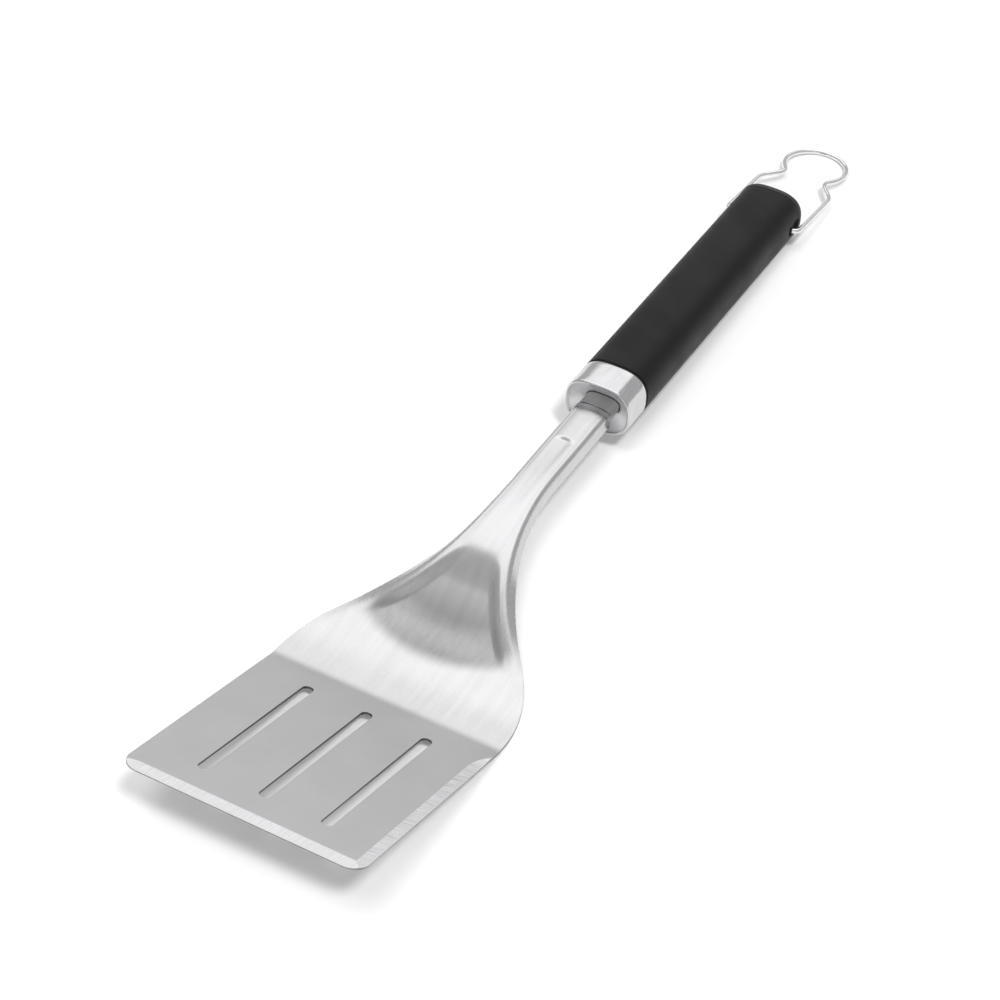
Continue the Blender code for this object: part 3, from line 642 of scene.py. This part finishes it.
def bevel_creases(front_steps=59, side_steps=50, mitre_steps=20, mitre_step=0.0003):
    """The ground edges' inner lines and their mitre, as runs of (x, y) points inside the plate."""
    half = BLADE_WIDTH / 2
    clear = EDGE * 1.1  # how near the plate's outline a run may come
    corner = (FRONT_BEVEL, -(half - SIDE_BEVEL))
    front, side, mitre = [corner], [corner], [corner]
    for k in range(1, front_steps + 1):
        y = corner[1] + (half - EDGE * 1.5 - corner[1]) * k / front_steps
        if plate_margin(front_bevel_line(y), y) > clear:
            front.append((front_bevel_line(y), y))
    for k in range(1, side_steps):
        x = corner[0] + (SIDE_BEVEL_ROUND[1] - corner[0]) * k / side_steps
        if half - side_bevel_line(x) > clear:
            side.append((x, -side_bevel_line(x)))
    for k in range(1, mitre_steps):
        place = (corner[0] - mitre_step * k, corner[1] - mitre_step * k)
        if plate_margin(*place) > clear:
            mitre.append(place)
    return front, side, mitre


def plate_margin(x, y):
    """Distance from a place on the plate in to its outline."""
    inner = BLADE_WIDTH / 2 - BLADE_CORNER
    if x < BLADE_CORNER and abs(y) > inner:
        return BLADE_CORNER - hypot(x - BLADE_CORNER, abs(y) - inner)
    return min(x, BLADE_WIDTH / 2 - abs(y))


# --- Lofted pieces ---


def ring(half_width, half_height, centre=0.0, exponent=SQUARENESS, count=144):
    """A rounded-rectangle section as (y, z) points."""
    points = []
    for i in range(count):
        angle = 2 * pi * (i + 0.5) / count
        c, s = cos(angle), sin(angle)
        y = half_width * abs(c) ** (2 / exponent) * (1 if c > 0 else -1)
        z = half_height * abs(s) ** (2 / exponent) * (1 if s > 0 else -1)
        points.append((y, centre + z))
    return points


def skin(name, rows, matrix, closed=False, sharp=35.0, flow=None, marks=None):
    """A surface through rings of points, closed on itself or with flat ends. Each ring may have a mark."""
    bm = bmesh.new()
    rings = [[bm.verts.new(place) for place in row] for row in rows]
    count = len(rings[0])
    for first, second in zip(rings, rings[1:] + rings[:1] if closed else rings[1:]):
        for i in range(count):
            j = (i + 1) % count
            bm.faces.new((first[i], first[j], second[j], second[i]))
    if not closed:
        bm.faces.new(rings[0])
        bm.faces.new(rings[-1][::-1])
    bmesh.ops.recalc_face_normals(bm, faces=bm.faces)
    mesh = bpy.data.meshes.new(name)
    bm.to_mesh(mesh)
    bm.free()
    store(mesh, "flow", "FLOAT_VECTOR", "POINT", "vector", flow or [v.co[:] for v in mesh.vertices])
    store(mesh, "mark", "FLOAT", "POINT", "value", np.repeat(marks or [0.0] * len(rows), count))
    mesh.transform(matrix)
    mesh.shade_smooth()
    mesh.set_sharp_from_angle(angle=radians(sharp))
    return mesh


def loft_mesh(name, sections, matrix, **settings):
    """A skin through (x, ring) sections."""
    return skin(name, [[(x, y, z) for y, z in points] for x, points in sections], matrix, **settings)


def rounded_end(x, half, radius, towards, steps=6, centre=0.0):
    """Sections that round a bar's end over, from its side to its face. towards is -1 or 1 along X."""
    sections = []
    for k in range(steps + 1):
        angle = pi / 2 * k / steps
        inset = radius * (1 - cos(angle))
        place = x - towards * radius * (1 - sin(angle))
        sections.append((place, ring(half[0] - inset, half[1] - inset, centre)))
    return sections


def build_insert(matrix, material):
    """The polished bar between shaft and collar, with the fine seam line at its front."""
    seam = -SEAM_TO_COLLAR
    roof = CROWN_ABOVE_AXIS - SHEET - SHAFT_CROWN - GAP - SPIGOT_LENGTH * tan(SHAFT_PITCH - HANDLE_PITCH)
    spigot = ring(SHAFT_HALF_WIDTH - SHEET - 3 * GAP, SPIGOT_HALF_HEIGHT, roof - SPIGOT_HALF_HEIGHT, 3.0)
    shoulder = seam + INSERT_SEAM
    sections = [(seam - SPIGOT_LENGTH, spigot), (shoulder, spigot)]
    sections += rounded_end(shoulder, INSERT_HALF, INSERT_SEAM, -1, centre=-INSERT_DROP)[::-1]
    sections.append((INSERT_REAR, ring(*INSERT_HALF, -INSERT_DROP)))
    mesh = loft_mesh("neck_bar", sections, matrix)
    return add_piece("neck_bar", mesh, material, "tool", ["neck_insert"])


def build_collar(matrix, material, rim_steps=12, mouth_steps=24):
    """The chrome cap: a rounded rim, a concave mouth, a throat and a hollow back."""
    half_y, half_z = COLLAR_HALF
    throat = (INSERT_HALF[0] + GAP, INSERT_HALF[1] + GAP)
    mouth = (half_y - COLLAR_RIM, half_z - COLLAR_RIM)
    back = (half_y - COLLAR_WALL, half_z - COLLAR_WALL)
    sections = rounded_end(COLLAR_LENGTH, COLLAR_HALF, REAR_RIM, 1, steps=4)[::-1]
    sections += [(COLLAR_LENGTH * (1 - k / 8), ring(half_y, half_z)) for k in range(1, 7)]
    for k in range(rim_steps + 1):
        angle = pi * k / rim_steps
        inset = COLLAR_RIM * 0.5 * (1 - cos(angle))
        place = COLLAR_RIM * (1 - sin(angle)) * (1 if k <= rim_steps / 2 else RIM_INNER_SHARE)
        sections.append((place, ring(half_y - inset, half_z - inset)))
    first_mouth = len(sections)
    start = COLLAR_RIM * RIM_INNER_SHARE
    for k in range(1, mouth_steps + 1):
        t = k / mouth_steps
        narrowing = t**1.5
        y = mouth[0] + (throat[0] - mouth[0]) * narrowing
        z = mouth[1] + (throat[1] - mouth[1]) * narrowing
        sections.append((start + (FUNNEL_DEPTH - start) * t, ring(y, z, -INSERT_DROP * narrowing)))
    end_mouth = len(sections)
    web = FUNNEL_DEPTH + COLLAR_WEB
    sections += [(web, ring(*throat, -INSERT_DROP)), (web, ring(*back)), (COLLAR_LENGTH, ring(*back))]
    # the marked rings are the mouth, whose chrome is rougher and carries painted light
    marks = [float(first_mouth <= i < end_mouth) for i in range(len(sections))]
    mesh = loft_mesh("collar_cap", sections, matrix, closed=True, marks=marks)
    return add_piece("collar_cap", mesh, material, "tool", ["collar"])


def build_gasket(matrix, material):
    """The thin dark ring between collar and grip."""
    outer = [half - GASKET_INSET for half in COLLAR_HALF]
    inner = (CORE_HALF[0] + GAP, CORE_HALF[1] + GAP)
    soft = 0.00012
    end = GASKET_START + GASKET
    sections = rounded_end(GASKET_START, outer, soft, -1, steps=3)[::-1]
    sections += rounded_end(end, outer, soft, 1, steps=3)
    sections += [(end, ring(*inner)), (GASKET_START, ring(*inner))]
    mesh = loft_mesh("collar_ring", sections, matrix, closed=True)
    return add_piece("collar_ring", mesh, material, "tool", ["collar_gasket"])


def recess_depth(along, height):
    """Depth of the moulded recess and pivot hole at a place on the grip's side."""
    radius = RECESS_WIDTH / 2
    nearest = min(max(along, PIVOT), PIVOT + RECESS_LENGTH)
    outside = hypot(along - nearest, height) - radius
    past_hole = hypot(along - PIVOT, height) - BUSH_RADIUS - HOLE_SOFT / 2
    recess = RECESS_DEPTH * smooth(0.5 - outside / RECESS_SOFT)
    return recess + HOLE_DEPTH * smooth(0.5 - past_hole / HOLE_SOFT)


def build_grip(matrix, material):
    """The soft sleeve, slimmer at its end, with a moulded recess where each leg of the loop goes in."""
    places = [GRIP_START + GRIP_EDGE * (1 - cos(pi / 2 * k / 4)) for k in range(1, 5)]
    steady = np.arange(GRIP_START + 0.001, PIVOT - 0.0045, 0.004)
    near = np.arange(PIVOT - 0.0040, GRIP_END - GRIP_EDGE, 0.00012)
    places += [*steady, *near]
    places += [GRIP_END - GRIP_EDGE * cos(pi / 2 * k / 4) for k in range(1, 5)]
    sections = []
    for x in places:
        share = (x - GRIP_START) / GRIP_LENGTH
        half = [a + (b - a) * share for a, b in zip(COLLAR_HALF, GRIP_END_HALF)]
        close = min(x - GRIP_START, GRIP_END - x)
        inset = GRIP_EDGE - sqrt(max(0.0, GRIP_EDGE**2 - (GRIP_EDGE - min(close, GRIP_EDGE)) ** 2))
        section = []
        for y, z in side_dense_ring(half[0] - inset, half[1] - inset):
            if abs(z) < 0.0045 and x > PIVOT - 0.005:
                y -= recess_depth(x, z) * (1 if y > 0 else -1)
            section.append((y, z))
        sections.append((x, section))
    inner = side_dense_ring(CORE_HALF[0] + GAP, CORE_HALF[1] + GAP)
    sections += [(GRIP_END, inner), (GRIP_START, inner)]
    mesh = loft_mesh("grip_skin", sections, matrix, closed=True, sharp=50.0)
    return add_piece("grip_skin", mesh, material, "tool", ["grip_sleeve"])


def side_dense_ring(half_width, half_height, exponent=SQUARENESS):
    """A rounded-rectangle section with close points on its two sides."""
    quarter = []
    dense = 0.0040
    for k in range(34):
        z = dense * k / 33
        quarter.append((half_width * (1 - (z / half_height) ** exponent) ** (1 / exponent), z))
    start = asin((dense / half_height) ** (exponent / 2))
    for k in range(1, 25):
        angle = start + (pi / 2 - start) * k / 24
        y = half_width * max(cos(angle), 0.0) ** (2 / exponent)
        quarter.append((y, half_height * sin(angle) ** (2 / exponent)))
    right = quarter + [(-y, z) for y, z in quarter[-2::-1]]
    return right + [(y, -z) for y, z in right[-2:0:-1]]


def build_end_cap(matrix, material):
    """The rigid cap over the grip's end."""
    plug = ring(*CORE_HALF)
    sections = [(GRIP_END - END_PLUG, plug), (END_CAP_START, plug)]
    sections += rounded_end(END_CAP_START, GRIP_END_HALF, 0.0002, -1, steps=3)[::-1]
    sections += rounded_end(HANDLE_END, GRIP_END_HALF, END_CAP_RADIUS, 1, steps=12)
    mesh = loft_mesh("grip_end_cap", sections, matrix)
    return add_piece("grip_end_cap", mesh, material, "tool", ["end_cap"])


def rounded(points, radii, step=radians(4)):
    """A polyline whose inner corners become arcs of the given radii."""
    path = [Vector(points[0])]
    for before, corner, after, radius in zip(points, points[1:], points[2:], radii):
        corner = Vector(corner)
        back = (Vector(before) - corner).normalized()
        ahead = (Vector(after) - corner).normalized()
        half = acos(max(-1.0, min(1.0, back.dot(ahead)))) / 2
        centre = corner + (back + ahead).normalized() * (radius / sin(half))
        start = corner + back * (radius / tan(half)) - centre
        end = corner + ahead * (radius / tan(half)) - centre
        sweep = pi - 2 * half
        count = max(2, round(sweep / step))
        for i in range(count + 1):
            t = i / count
            path.append(centre + (start * sin((1 - t) * sweep) + end * sin(t * sweep)) / sin(sweep))
    path.append(Vector(points[-1]))
    return path


def loop_path():
    """The wire's centre line, flat in the loop's XY plane, from one leg's end round to the other's."""
    waist = Vector(LOOP_WAIST)
    centre = Vector((LOOP_EYE_CENTRE, 0))
    to_centre = centre - waist
    reach = sqrt(to_centre.length_squared - LOOP_EYE_RADIUS**2)
    heading = asin(LOOP_EYE_RADIUS / to_centre.length) + atan(to_centre.y / to_centre.x)
    tangent = waist + Vector((cos(heading), sin(heading))) * reach
    corners = [(0, LOOP_LEG_END), (0, LOOP_HALF_WIDTH), (LOOP_SHOULDER, LOOP_HALF_WIDTH)]
    corners += [tuple(waist), tuple(tangent)]
    half = rounded(corners, (LOOP_LEG_BEND, LOOP_SHOULDER_BEND, LOOP_WAIST_BEND))
    start = acos((tangent.x - LOOP_EYE_CENTRE) / LOOP_EYE_RADIUS)
    for i in range(1, 33):
        angle = start * (1 - i / 32)
        half.append(centre + LOOP_EYE_RADIUS * Vector((cos(angle), sin(angle))))
    return half + [Vector((p.x, -p.y)) for p in half[-2::-1]]


def build_loop(matrix, material, sides=32):
    """The bent wire, round in section, with its ends inside the bushes."""
    path = [Vector((p.x, p.y, 0)) for p in loop_path()]
    rows, flow = [], []
    length = 0.0
    for i, place in enumerate(path):
        before, after = path[max(i - 1, 0)], path[min(i + 1, len(path) - 1)]
        length += (place - before).length
        heading = (after - before).normalized()
        aside = Vector((heading.y, -heading.x, 0))
        row = []
        for k in range(sides):
            angle = 2 * pi * k / sides
            row.append(place + (aside * cos(angle) + Vector((0, 0, 1)) * sin(angle)) * SHOWN_WIRE_RADIUS)
            flow.append((length, WIRE_RADIUS * angle, 0.0))
        rows.append(row)
    mesh = skin("wire_loop", rows, matrix, sharp=50.0, flow=flow)
    return add_piece("wire_loop", mesh, material, "loop", ["hanging_loop"])


# --- Materials ---

FLOOR_LIFT = 0.09  # the paper's own brightness, which keeps the shadows pale
SEAM_BAND = (6.2, 2.6)  # mm before the seam where the shaft turns polished
SEAM_LINE = 0.35  # mm, the dark line at the front of the neck bar
END_BAND = (2.2, 2.0)  # mm before the grip's end where its paler band begins
SIDE_SLANT = 0.55  # how far the grinding marks lean on the side edge
FRONT_LEAN = 0.18  # and on the front edge
NO_TINT = (1.0, 1.0, 1.0)
MIDDLE = (0.3, 0.7)  # the part of a noise's range that is used
NARROW = (0.35, 0.65)


class Nodes:
    """A small helper that wires one material's nodes."""

    def __init__(self, name):
        self.material = bpy.data.materials.new(name)
        self.material.use_nodes = True
        self.tree = self.material.node_tree
        self.shader = self.tree.nodes["Principled BSDF"]

    def plug(self, target, value):
        if isinstance(value, bpy.types.NodeSocket):
            self.tree.links.new(value, target)
        else:
            target.default_value = value

    def node(self, kind, links=(), **settings):
        made = self.tree.nodes.new(kind)
        for key, value in settings.items():
            setattr(made, key, value)
        for socket, value in dict(links).items():
            self.plug(made.inputs[socket], value)
        return made

    def math(self, operation, *values):
        made = self.node("ShaderNodeMath", operation=operation)
        for target, value in zip(made.inputs, values):
            self.plug(target, value)
        return made.outputs[0]

    def times(self, first, second):
        return self.math("MULTIPLY", first, second)

    def plus(self, first, *others):
        for other in others:
            first = self.math("ADD", first, other)
        return first

    def swing(self, value, amount):
        """A 0 to 1 value turned into one that swings round 0."""
        return self.times(self.math("SUBTRACT", value, 0.5), amount)

    def mark(self, name):
        """A number stored on the mesh."""
        return self.node("ShaderNodeAttribute", attribute_name=name).outputs["Fac"]

    def millimetres(self, vector):
        split = self.node("ShaderNodeSeparateXYZ", {"Vector": vector})
        return [self.times(out, 1000.0) for out in split.outputs]

    def place(self):
        """(x, y, z) sockets of the stored coordinate."""
        return self.millimetres(self.node("ShaderNodeAttribute", attribute_name="flow").outputs["Vector"])

    def own_place(self):
        """(x, y, z) sockets of the mesh's own coordinates."""
        return self.millimetres(self.node("ShaderNodeTexCoord").outputs["Object"])

    def stretched(self, place, factors=(1.0, 1.0, 1.0)):
        joined = self.node("ShaderNodeCombineXYZ")
        for target, value, factor in zip(joined.inputs, place, factors):
            self.plug(target, value if factor == 1.0 else self.times(value, factor))
        return joined.outputs[0]

    def noise(self, vector, scale=1.0, detail=2.0, roughness=0.5):
        sockets = {"Vector": vector, "Scale": scale, "Detail": detail, "Roughness": roughness}
        return self.node("ShaderNodeTexNoise", sockets).outputs["Fac"]

    def span(self, value, low_high, to_low, to_high):
        sockets = {"Value": value, 1: low_high[0], 2: low_high[1], 3: to_low, 4: to_high}
        return self.node("ShaderNodeMapRange", sockets, clamp=True).outputs["Result"]

    def mix(self, share, first, second):
        """first where share is 0 and second where it is 1, for numbers."""
        step = self.math("SUBTRACT", second, first)
        return self.plus(self.times(step, share), first)

    def grey(self, value, tint=NO_TINT):
        """A colour from a brightness, tinted."""
        joined = self.node("ShaderNodeCombineColor")
        for target, part in zip(joined.inputs, tint):
            self.plug(target, self.times(value, part) if part != 1.0 else value)
        return joined.outputs[0]

    def bump(self, height, distance, strength=1.0):
        sockets = {"Height": height, "Distance": distance, "Strength": strength}
        return self.node("ShaderNodeBump", sockets).outputs["Normal"]

    def finish(self, colour, metallic, roughness, normal=None):
        self.plug(self.shader.inputs["Base Color"], colour)
        self.plug(self.shader.inputs["Metallic"], metallic)
        self.plug(self.shader.inputs["Roughness"], roughness)
        if normal is not None:
            self.plug(self.shader.inputs["Normal"], normal)
        return self.material


def blade_steel():
    """Satin sheet: even on the blade, brushed on the neck, ground on the bevels, polished at the seam, with
    painted shade in the dish.
    """
    m = Nodes("blade_steel")
    place = m.place()
    x, y = place[:2]
    grind, cut, dish = m.mark("grind"), m.mark("cut"), m.mark("dish")
    front = m.span(m.math("ABSOLUTE", m.math("SUBTRACT", grind, 1.0)), (0.4, 0.6), 1.0, 0.0)
    side = m.span(grind, (1.4, 1.6), 0.0, 1.0)
    neck = m.span(x, (103.0, 112.0), 0.0, 1.0)
    seam = m.span(x, [SHEET_LENGTH * 1000 - before for before in SEAM_BAND], 0.0, 1.0)

    brushed = m.noise(m.stretched(place, (0.05, 3.2, 1.0)), 1.0, 4.0, 0.65)
    broad = m.noise(m.stretched(place, (0.02, 0.35, 1.0)))
    cloud = m.noise(m.stretched(place), 0.045, 3.0)
    fine = m.noise(m.stretched(place, (0.4, 9.0, 1.0)))
    slant = m.plus(x, m.times(y, SIDE_SLANT))
    side_lines = m.noise(m.stretched((slant, y), (2.8, 0.1)), 1.0, 4.0, 0.7)
    lean = m.plus(y, m.times(x, FRONT_LEAN))
    front_lines = m.noise(m.stretched((x, lean), (0.1, 1.6)), 1.0, 4.0, 0.7)

    grain = m.mix(neck, m.span(fine, MIDDLE, 0.47, 0.53), brushed)
    grain = m.mix(front, grain, front_lines)
    grain = m.mix(side, grain, side_lines)
    tone = m.plus(
        m.span(cloud, MIDDLE, 0.575, 0.605),
        m.swing(grain, m.mix(neck, 0.05, 0.16)),
        m.swing(broad, m.mix(neck, 0.0, 0.10)),
        m.swing(grain, m.times(side, 1.2)),
        m.swing(grain, m.times(front, 0.45)),
        m.mix(side, m.times(front, 0.07), 0.16),
    )
    # painted shade: the dish is painted darker, most at its front, standing in for the darker reflection it
    # shows
    tone = m.math("SUBTRACT", tone, m.times(dish, m.span(x, (138.0, 162.0), 0.25, 0.05)))
    tone = m.mix(seam, tone, 0.50)
    tone = m.mix(cut, tone, 0.16)

    rough = m.mix(neck, 0.36, m.span(brushed, MIDDLE, 0.24, 0.34))
    rough = m.mix(m.plus(front, side), rough, m.span(grain, MIDDLE, 0.26, 0.38))
    rough = m.mix(dish, rough, 0.42)
    rough = m.mix(seam, rough, 0.15)
    normal = m.bump(m.swing(grain, m.mix(seam, 1.0, 0.15)), 0.00003, 0.5)
    return m.finish(m.grey(tone, (1.0, 1.0, 1.01)), 1.0, rough, normal)


def polished_steel():
    """Darker polished bar with faint lengthwise marks and a dark line at its front."""
    m = Nodes("polished_steel_look")
    place = m.place()
    lines = m.noise(m.stretched(place, (0.2, 2.5, 2.5)), 1.0, 3.0)
    line_start = (INSERT_SEAM - SEAM_TO_COLLAR) * 1000
    front = m.span(place[0], (line_start, line_start + SEAM_LINE), 1.0, 0.0)
    tone = m.mix(front, m.span(lines, MIDDLE, 0.36, 0.42), 0.03)
    rough = m.span(lines, MIDDLE, 0.10, 0.18)
    return m.finish(m.grey(tone), 1.0, rough, m.bump(lines, 0.00001, 0.4))


def chrome(name, low, high, rough):
    """Bright plating with faint handling marks along the piece; where the mesh is marked it is softer and
    painted lighter, a painted highlight.
    """
    m = Nodes(name)
    place = m.place()
    lines = m.noise(m.stretched(place, (0.15, 1.8, 1.8)), 1.0, 4.0, 0.6)
    cloud = m.noise(m.stretched(place), 0.12)
    mouth = m.mark("mark")
    tone = m.span(m.plus(m.times(lines, 0.5), m.times(cloud, 0.5)), NARROW, low, high)
    # painted highlight: the mouth is painted much lighter, standing in for light on its face; its rougher
    # satin finish below is real
    tone = m.mix(mouth, tone, 0.95)
    rough = m.mix(mouth, m.span(lines, MIDDLE, *rough), 0.55)
    return m.finish(m.grey(tone, (1.0, 1.0, 1.012)), 1.0, rough, m.bump(lines, 0.00001, 0.35))


def soft_touch():
    """Soft black moulding: fine grain, a little worn to a sheen, paler along the end's edge."""
    m = Nodes("soft_touch")
    place = m.place()
    grain = m.noise(m.stretched(place), 4.5, 3.0, 0.6)
    cloud = m.noise(m.stretched(place), 0.06, 3.0)
    band = m.span(place[0], [GRIP_END * 1000 - before for before in END_BAND], 0.0, 1.0)
    tone = m.plus(m.span(cloud, NARROW, 0.0020, 0.0032), m.swing(grain, 0.003), m.times(band, 0.003))
    rough = m.plus(m.span(cloud, NARROW, 0.50, 0.60), m.swing(grain, 0.15))
    m.shader.inputs["Specular IOR Level"].default_value = 0.28
    return m.finish(m.grey(tone, (1.0, 1.0, 1.04)), 0.0, rough, m.bump(grain, 0.00004, 0.5))


def moulded(name, low, high, rough, own=False):
    """Moulded plastic or rubber with a fine grain."""
    m = Nodes(name)
    place = m.stretched(m.own_place() if own else m.place())
    grain = m.noise(place, 5.0, 3.0, 0.6)
    tone = m.span(m.noise(place, 0.2), NARROW, low, high)
    roughness = m.span(grain, MIDDLE, rough - 0.06, rough + 0.06)
    return m.finish(m.grey(tone, (1.0, 1.0, 1.04)), 0.0, roughness, m.bump(grain, 0.00003, 0.4))


def plated():
    """Dull plated steel with turning marks, for the screw, washer and nut inside the handle."""
    m = Nodes("plated_look")
    place = m.own_place()
    lines = m.noise(m.stretched(place, (4.0, 0.4, 0.4)), 1.0, 3.0)
    tone = m.span(m.noise(m.stretched(place), 0.3), NARROW, 0.46, 0.56)
    rough = m.span(lines, MIDDLE, 0.30, 0.42)
    return m.finish(m.grey(tone, (1.0, 1.0, 0.97)), 1.0, rough, m.bump(lines, 0.00003, 0.5))


def studio_floor():
    """Matt white paper with hardly visible variation."""
    m = Nodes("floor_paper")
    cloud = m.noise(m.stretched(m.own_place()), 0.004)
    tone = m.span(cloud, MIDDLE, 0.755, 0.765)
    rough = m.span(cloud, MIDDLE, 0.88, 0.92)
    m.shader.inputs["Specular IOR Level"].default_value = 0.0
    m.shader.inputs["Emission Color"].default_value = (1.0, 1.0, 1.0, 1.0)
    m.shader.inputs["Emission Strength"].default_value = FLOOR_LIFT
    return m.finish(m.grey(tone), 0.0, rough)


# --- Frames ---


def handle_matrix():
    """The handle frame in the blade's, placed so that the shaft's end meets the insert."""
    x, z, _ = profile_at(SHEET_LENGTH)
    along = Vector((cos(HANDLE_PITCH), 0, sin(HANDLE_PITCH)))
    up = Vector((-sin(HANDLE_PITCH), 0, cos(HANDLE_PITCH)))
    origin = Vector((x, 0, z)) + along * SEAM_TO_COLLAR - up * CROWN_ABOVE_AXIS
    return Matrix.Translation(origin) @ Matrix.Rotation(-HANDLE_PITCH, 4, "Y")


def rest_tilt(handle_local):
    """The angle that brings the heel's underside and the grip's end down to one level."""
    lip = handle_local @ Vector((HANDLE_END - END_CAP_RADIUS, 0, -GRIP_END_HALF[1]))
    steepest = 0.0
    for i in range(200):
        x, z, pitch = profile_at(SHOULDER_START + (FLANK_FULL - SHOULDER_START) * i / 200)
        steepest = max(steepest, (lip.z - z + SHEET * cos(pitch)) / (lip.x - x - SHEET * sin(pitch)))
    return atan(steepest)


def loop_droop(tilt):
    """The loop's angle below the handle's axis when its tip lies on the surface."""
    slope = tilt - HANDLE_PITCH
    pivot_height = GRIP_END_HALF[1] * cos(slope)
    pivot_height += (PIVOT_FROM_END - END_CAP_RADIUS) * sin(slope)
    reach = LOOP_EYE_CENTRE + LOOP_EYE_RADIUS
    return asin((pivot_height - WIRE_RADIUS - LOOP_FLOOR_GAP) / reach) - slope


# --- Studio ---


def add_floor(side=6.0):
    """A square of paper, this far out on every side."""
    corners = [(-side, -side, 0.0), (side, -side, 0.0), (side, side, 0.0), (-side, side, 0.0)]
    mesh = bpy.data.meshes.new("studio_floor")
    mesh.from_pydata(corners, [], [(0, 1, 2, 3)])
    mesh.materials.append(studio_floor())
    link("studio_floor", mesh)


def add_light(name, kind, place, aim, energy, **settings):
    """A light at a place, turned towards its aim."""
    light = bpy.data.lights.new(name, kind)
    light.energy = energy
    for key, value in settings.items():
        setattr(light, key, value)
    obj = link(name, light)
    obj.location = place
    obj.rotation_euler = (Vector(aim) - Vector(place)).to_track_quat("-Z", "Y").to_euler()
    return obj


SURROUND = (0.56, 0.56, 0.565, 1.0)
CARD_AIM = (0, 0, 0.02)
STUDIO_KEYS = (  # name, direction, strength, spread in degrees: unseen in the metal
    ("key", (-0.62, -0.05, 2.0), 1.00, 24),
    ("second_key", (-0.75, -0.88, 2.0), 1.75, 9),
)
STUDIO_CARDS = (  # name, place, size, watts: seen in the metal, not on the floor
    ("upper_card", (0.94, 0.465, 2.6), (2.8, 2.0), 18.5),
    ("lower_card", (2.0, 1.0, 1.65), (2.8, 1.1), 8.0),
    ("front_card", (-2.4, -1.2, 0.9), (2.0, 0.8), 4.0),
)


def add_studio():
    """A white floor, a grey surround, two keys that shape the shadow, and the cards."""
    add_floor()
    world = bpy.data.worlds.new("studio")
    world.use_nodes = True
    world.node_tree.nodes["Background"].inputs["Color"].default_value = SURROUND
    bpy.context.scene.world = world
    for name, place, energy, spread in STUDIO_KEYS:
        key = add_light(name, "SUN", place, (0, 0, 0), energy, angle=radians(spread))
        key.visible_glossy = False
    for name, place, size, energy in STUDIO_CARDS:
        shape = {"shape": "RECTANGLE", "size": size[0], "size_y": size[1]}
        card = add_light(name, "AREA", place, CARD_AIM, energy, **shape)
        card.visible_diffuse = False


def add_camera():
    """The camera at the photo's angle."""
    camera = bpy.data.cameras.new("camera")
    camera.lens = 108.414
    camera.sensor_width = 36.0
    camera.clip_start = 0.01
    obj = link("camera", camera)
    obj.location = (-0.8101606, -0.3992641, 0.8442155)
    obj.rotation_euler = (0.8088089, -0.0230900, -1.0583000)
    bpy.context.scene.camera = obj


# --- Assembly ---

handle_local = handle_matrix()
tilt = rest_tilt(handle_local)
blade_frame = Matrix.Translation(BLADE_ORIGIN) @ Matrix.Rotation(tilt, 4, "Y")
handle_frame = blade_frame @ handle_local
pivot_turn = Matrix.Rotation(loop_droop(tilt), 4, "Y")
loop_frame = handle_frame @ Matrix.Translation((PIVOT, 0, 0)) @ pivot_turn

build_blade(blade_frame, blade_steel())
build_insert(handle_frame, polished_steel())
build_collar(handle_frame, chrome("collar_chrome", 0.56, 0.66, (0.14, 0.20)))
build_gasket(handle_frame, moulded("gasket_rubber", 0.004, 0.007, 0.7))
build_grip(handle_frame, soft_touch())
build_end_cap(handle_frame, moulded("cap_plastic", 0.015, 0.019, 0.5))
build_loop(loop_frame, chrome("wire_chrome", 0.76, 0.84, (0.04, 0.09)))

inner_plastic = moulded("inner_plastic", 0.014, 0.020, 0.45, own=True)
inner_steel = plated()
inside = dict.fromkeys(("handle_core", "loop_bush_left", "loop_bush_right"), inner_plastic)
inside.update(dict.fromkeys(("tang_rod", "tang_washer", "tang_nut"), inner_steel))
for node, material in inside.items():
    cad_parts[node].data.materials.clear()
    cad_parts[node].data.materials.append(material)

add_studio()
add_camera()
bpy.context.scene.view_settings.view_transform = "Standard"
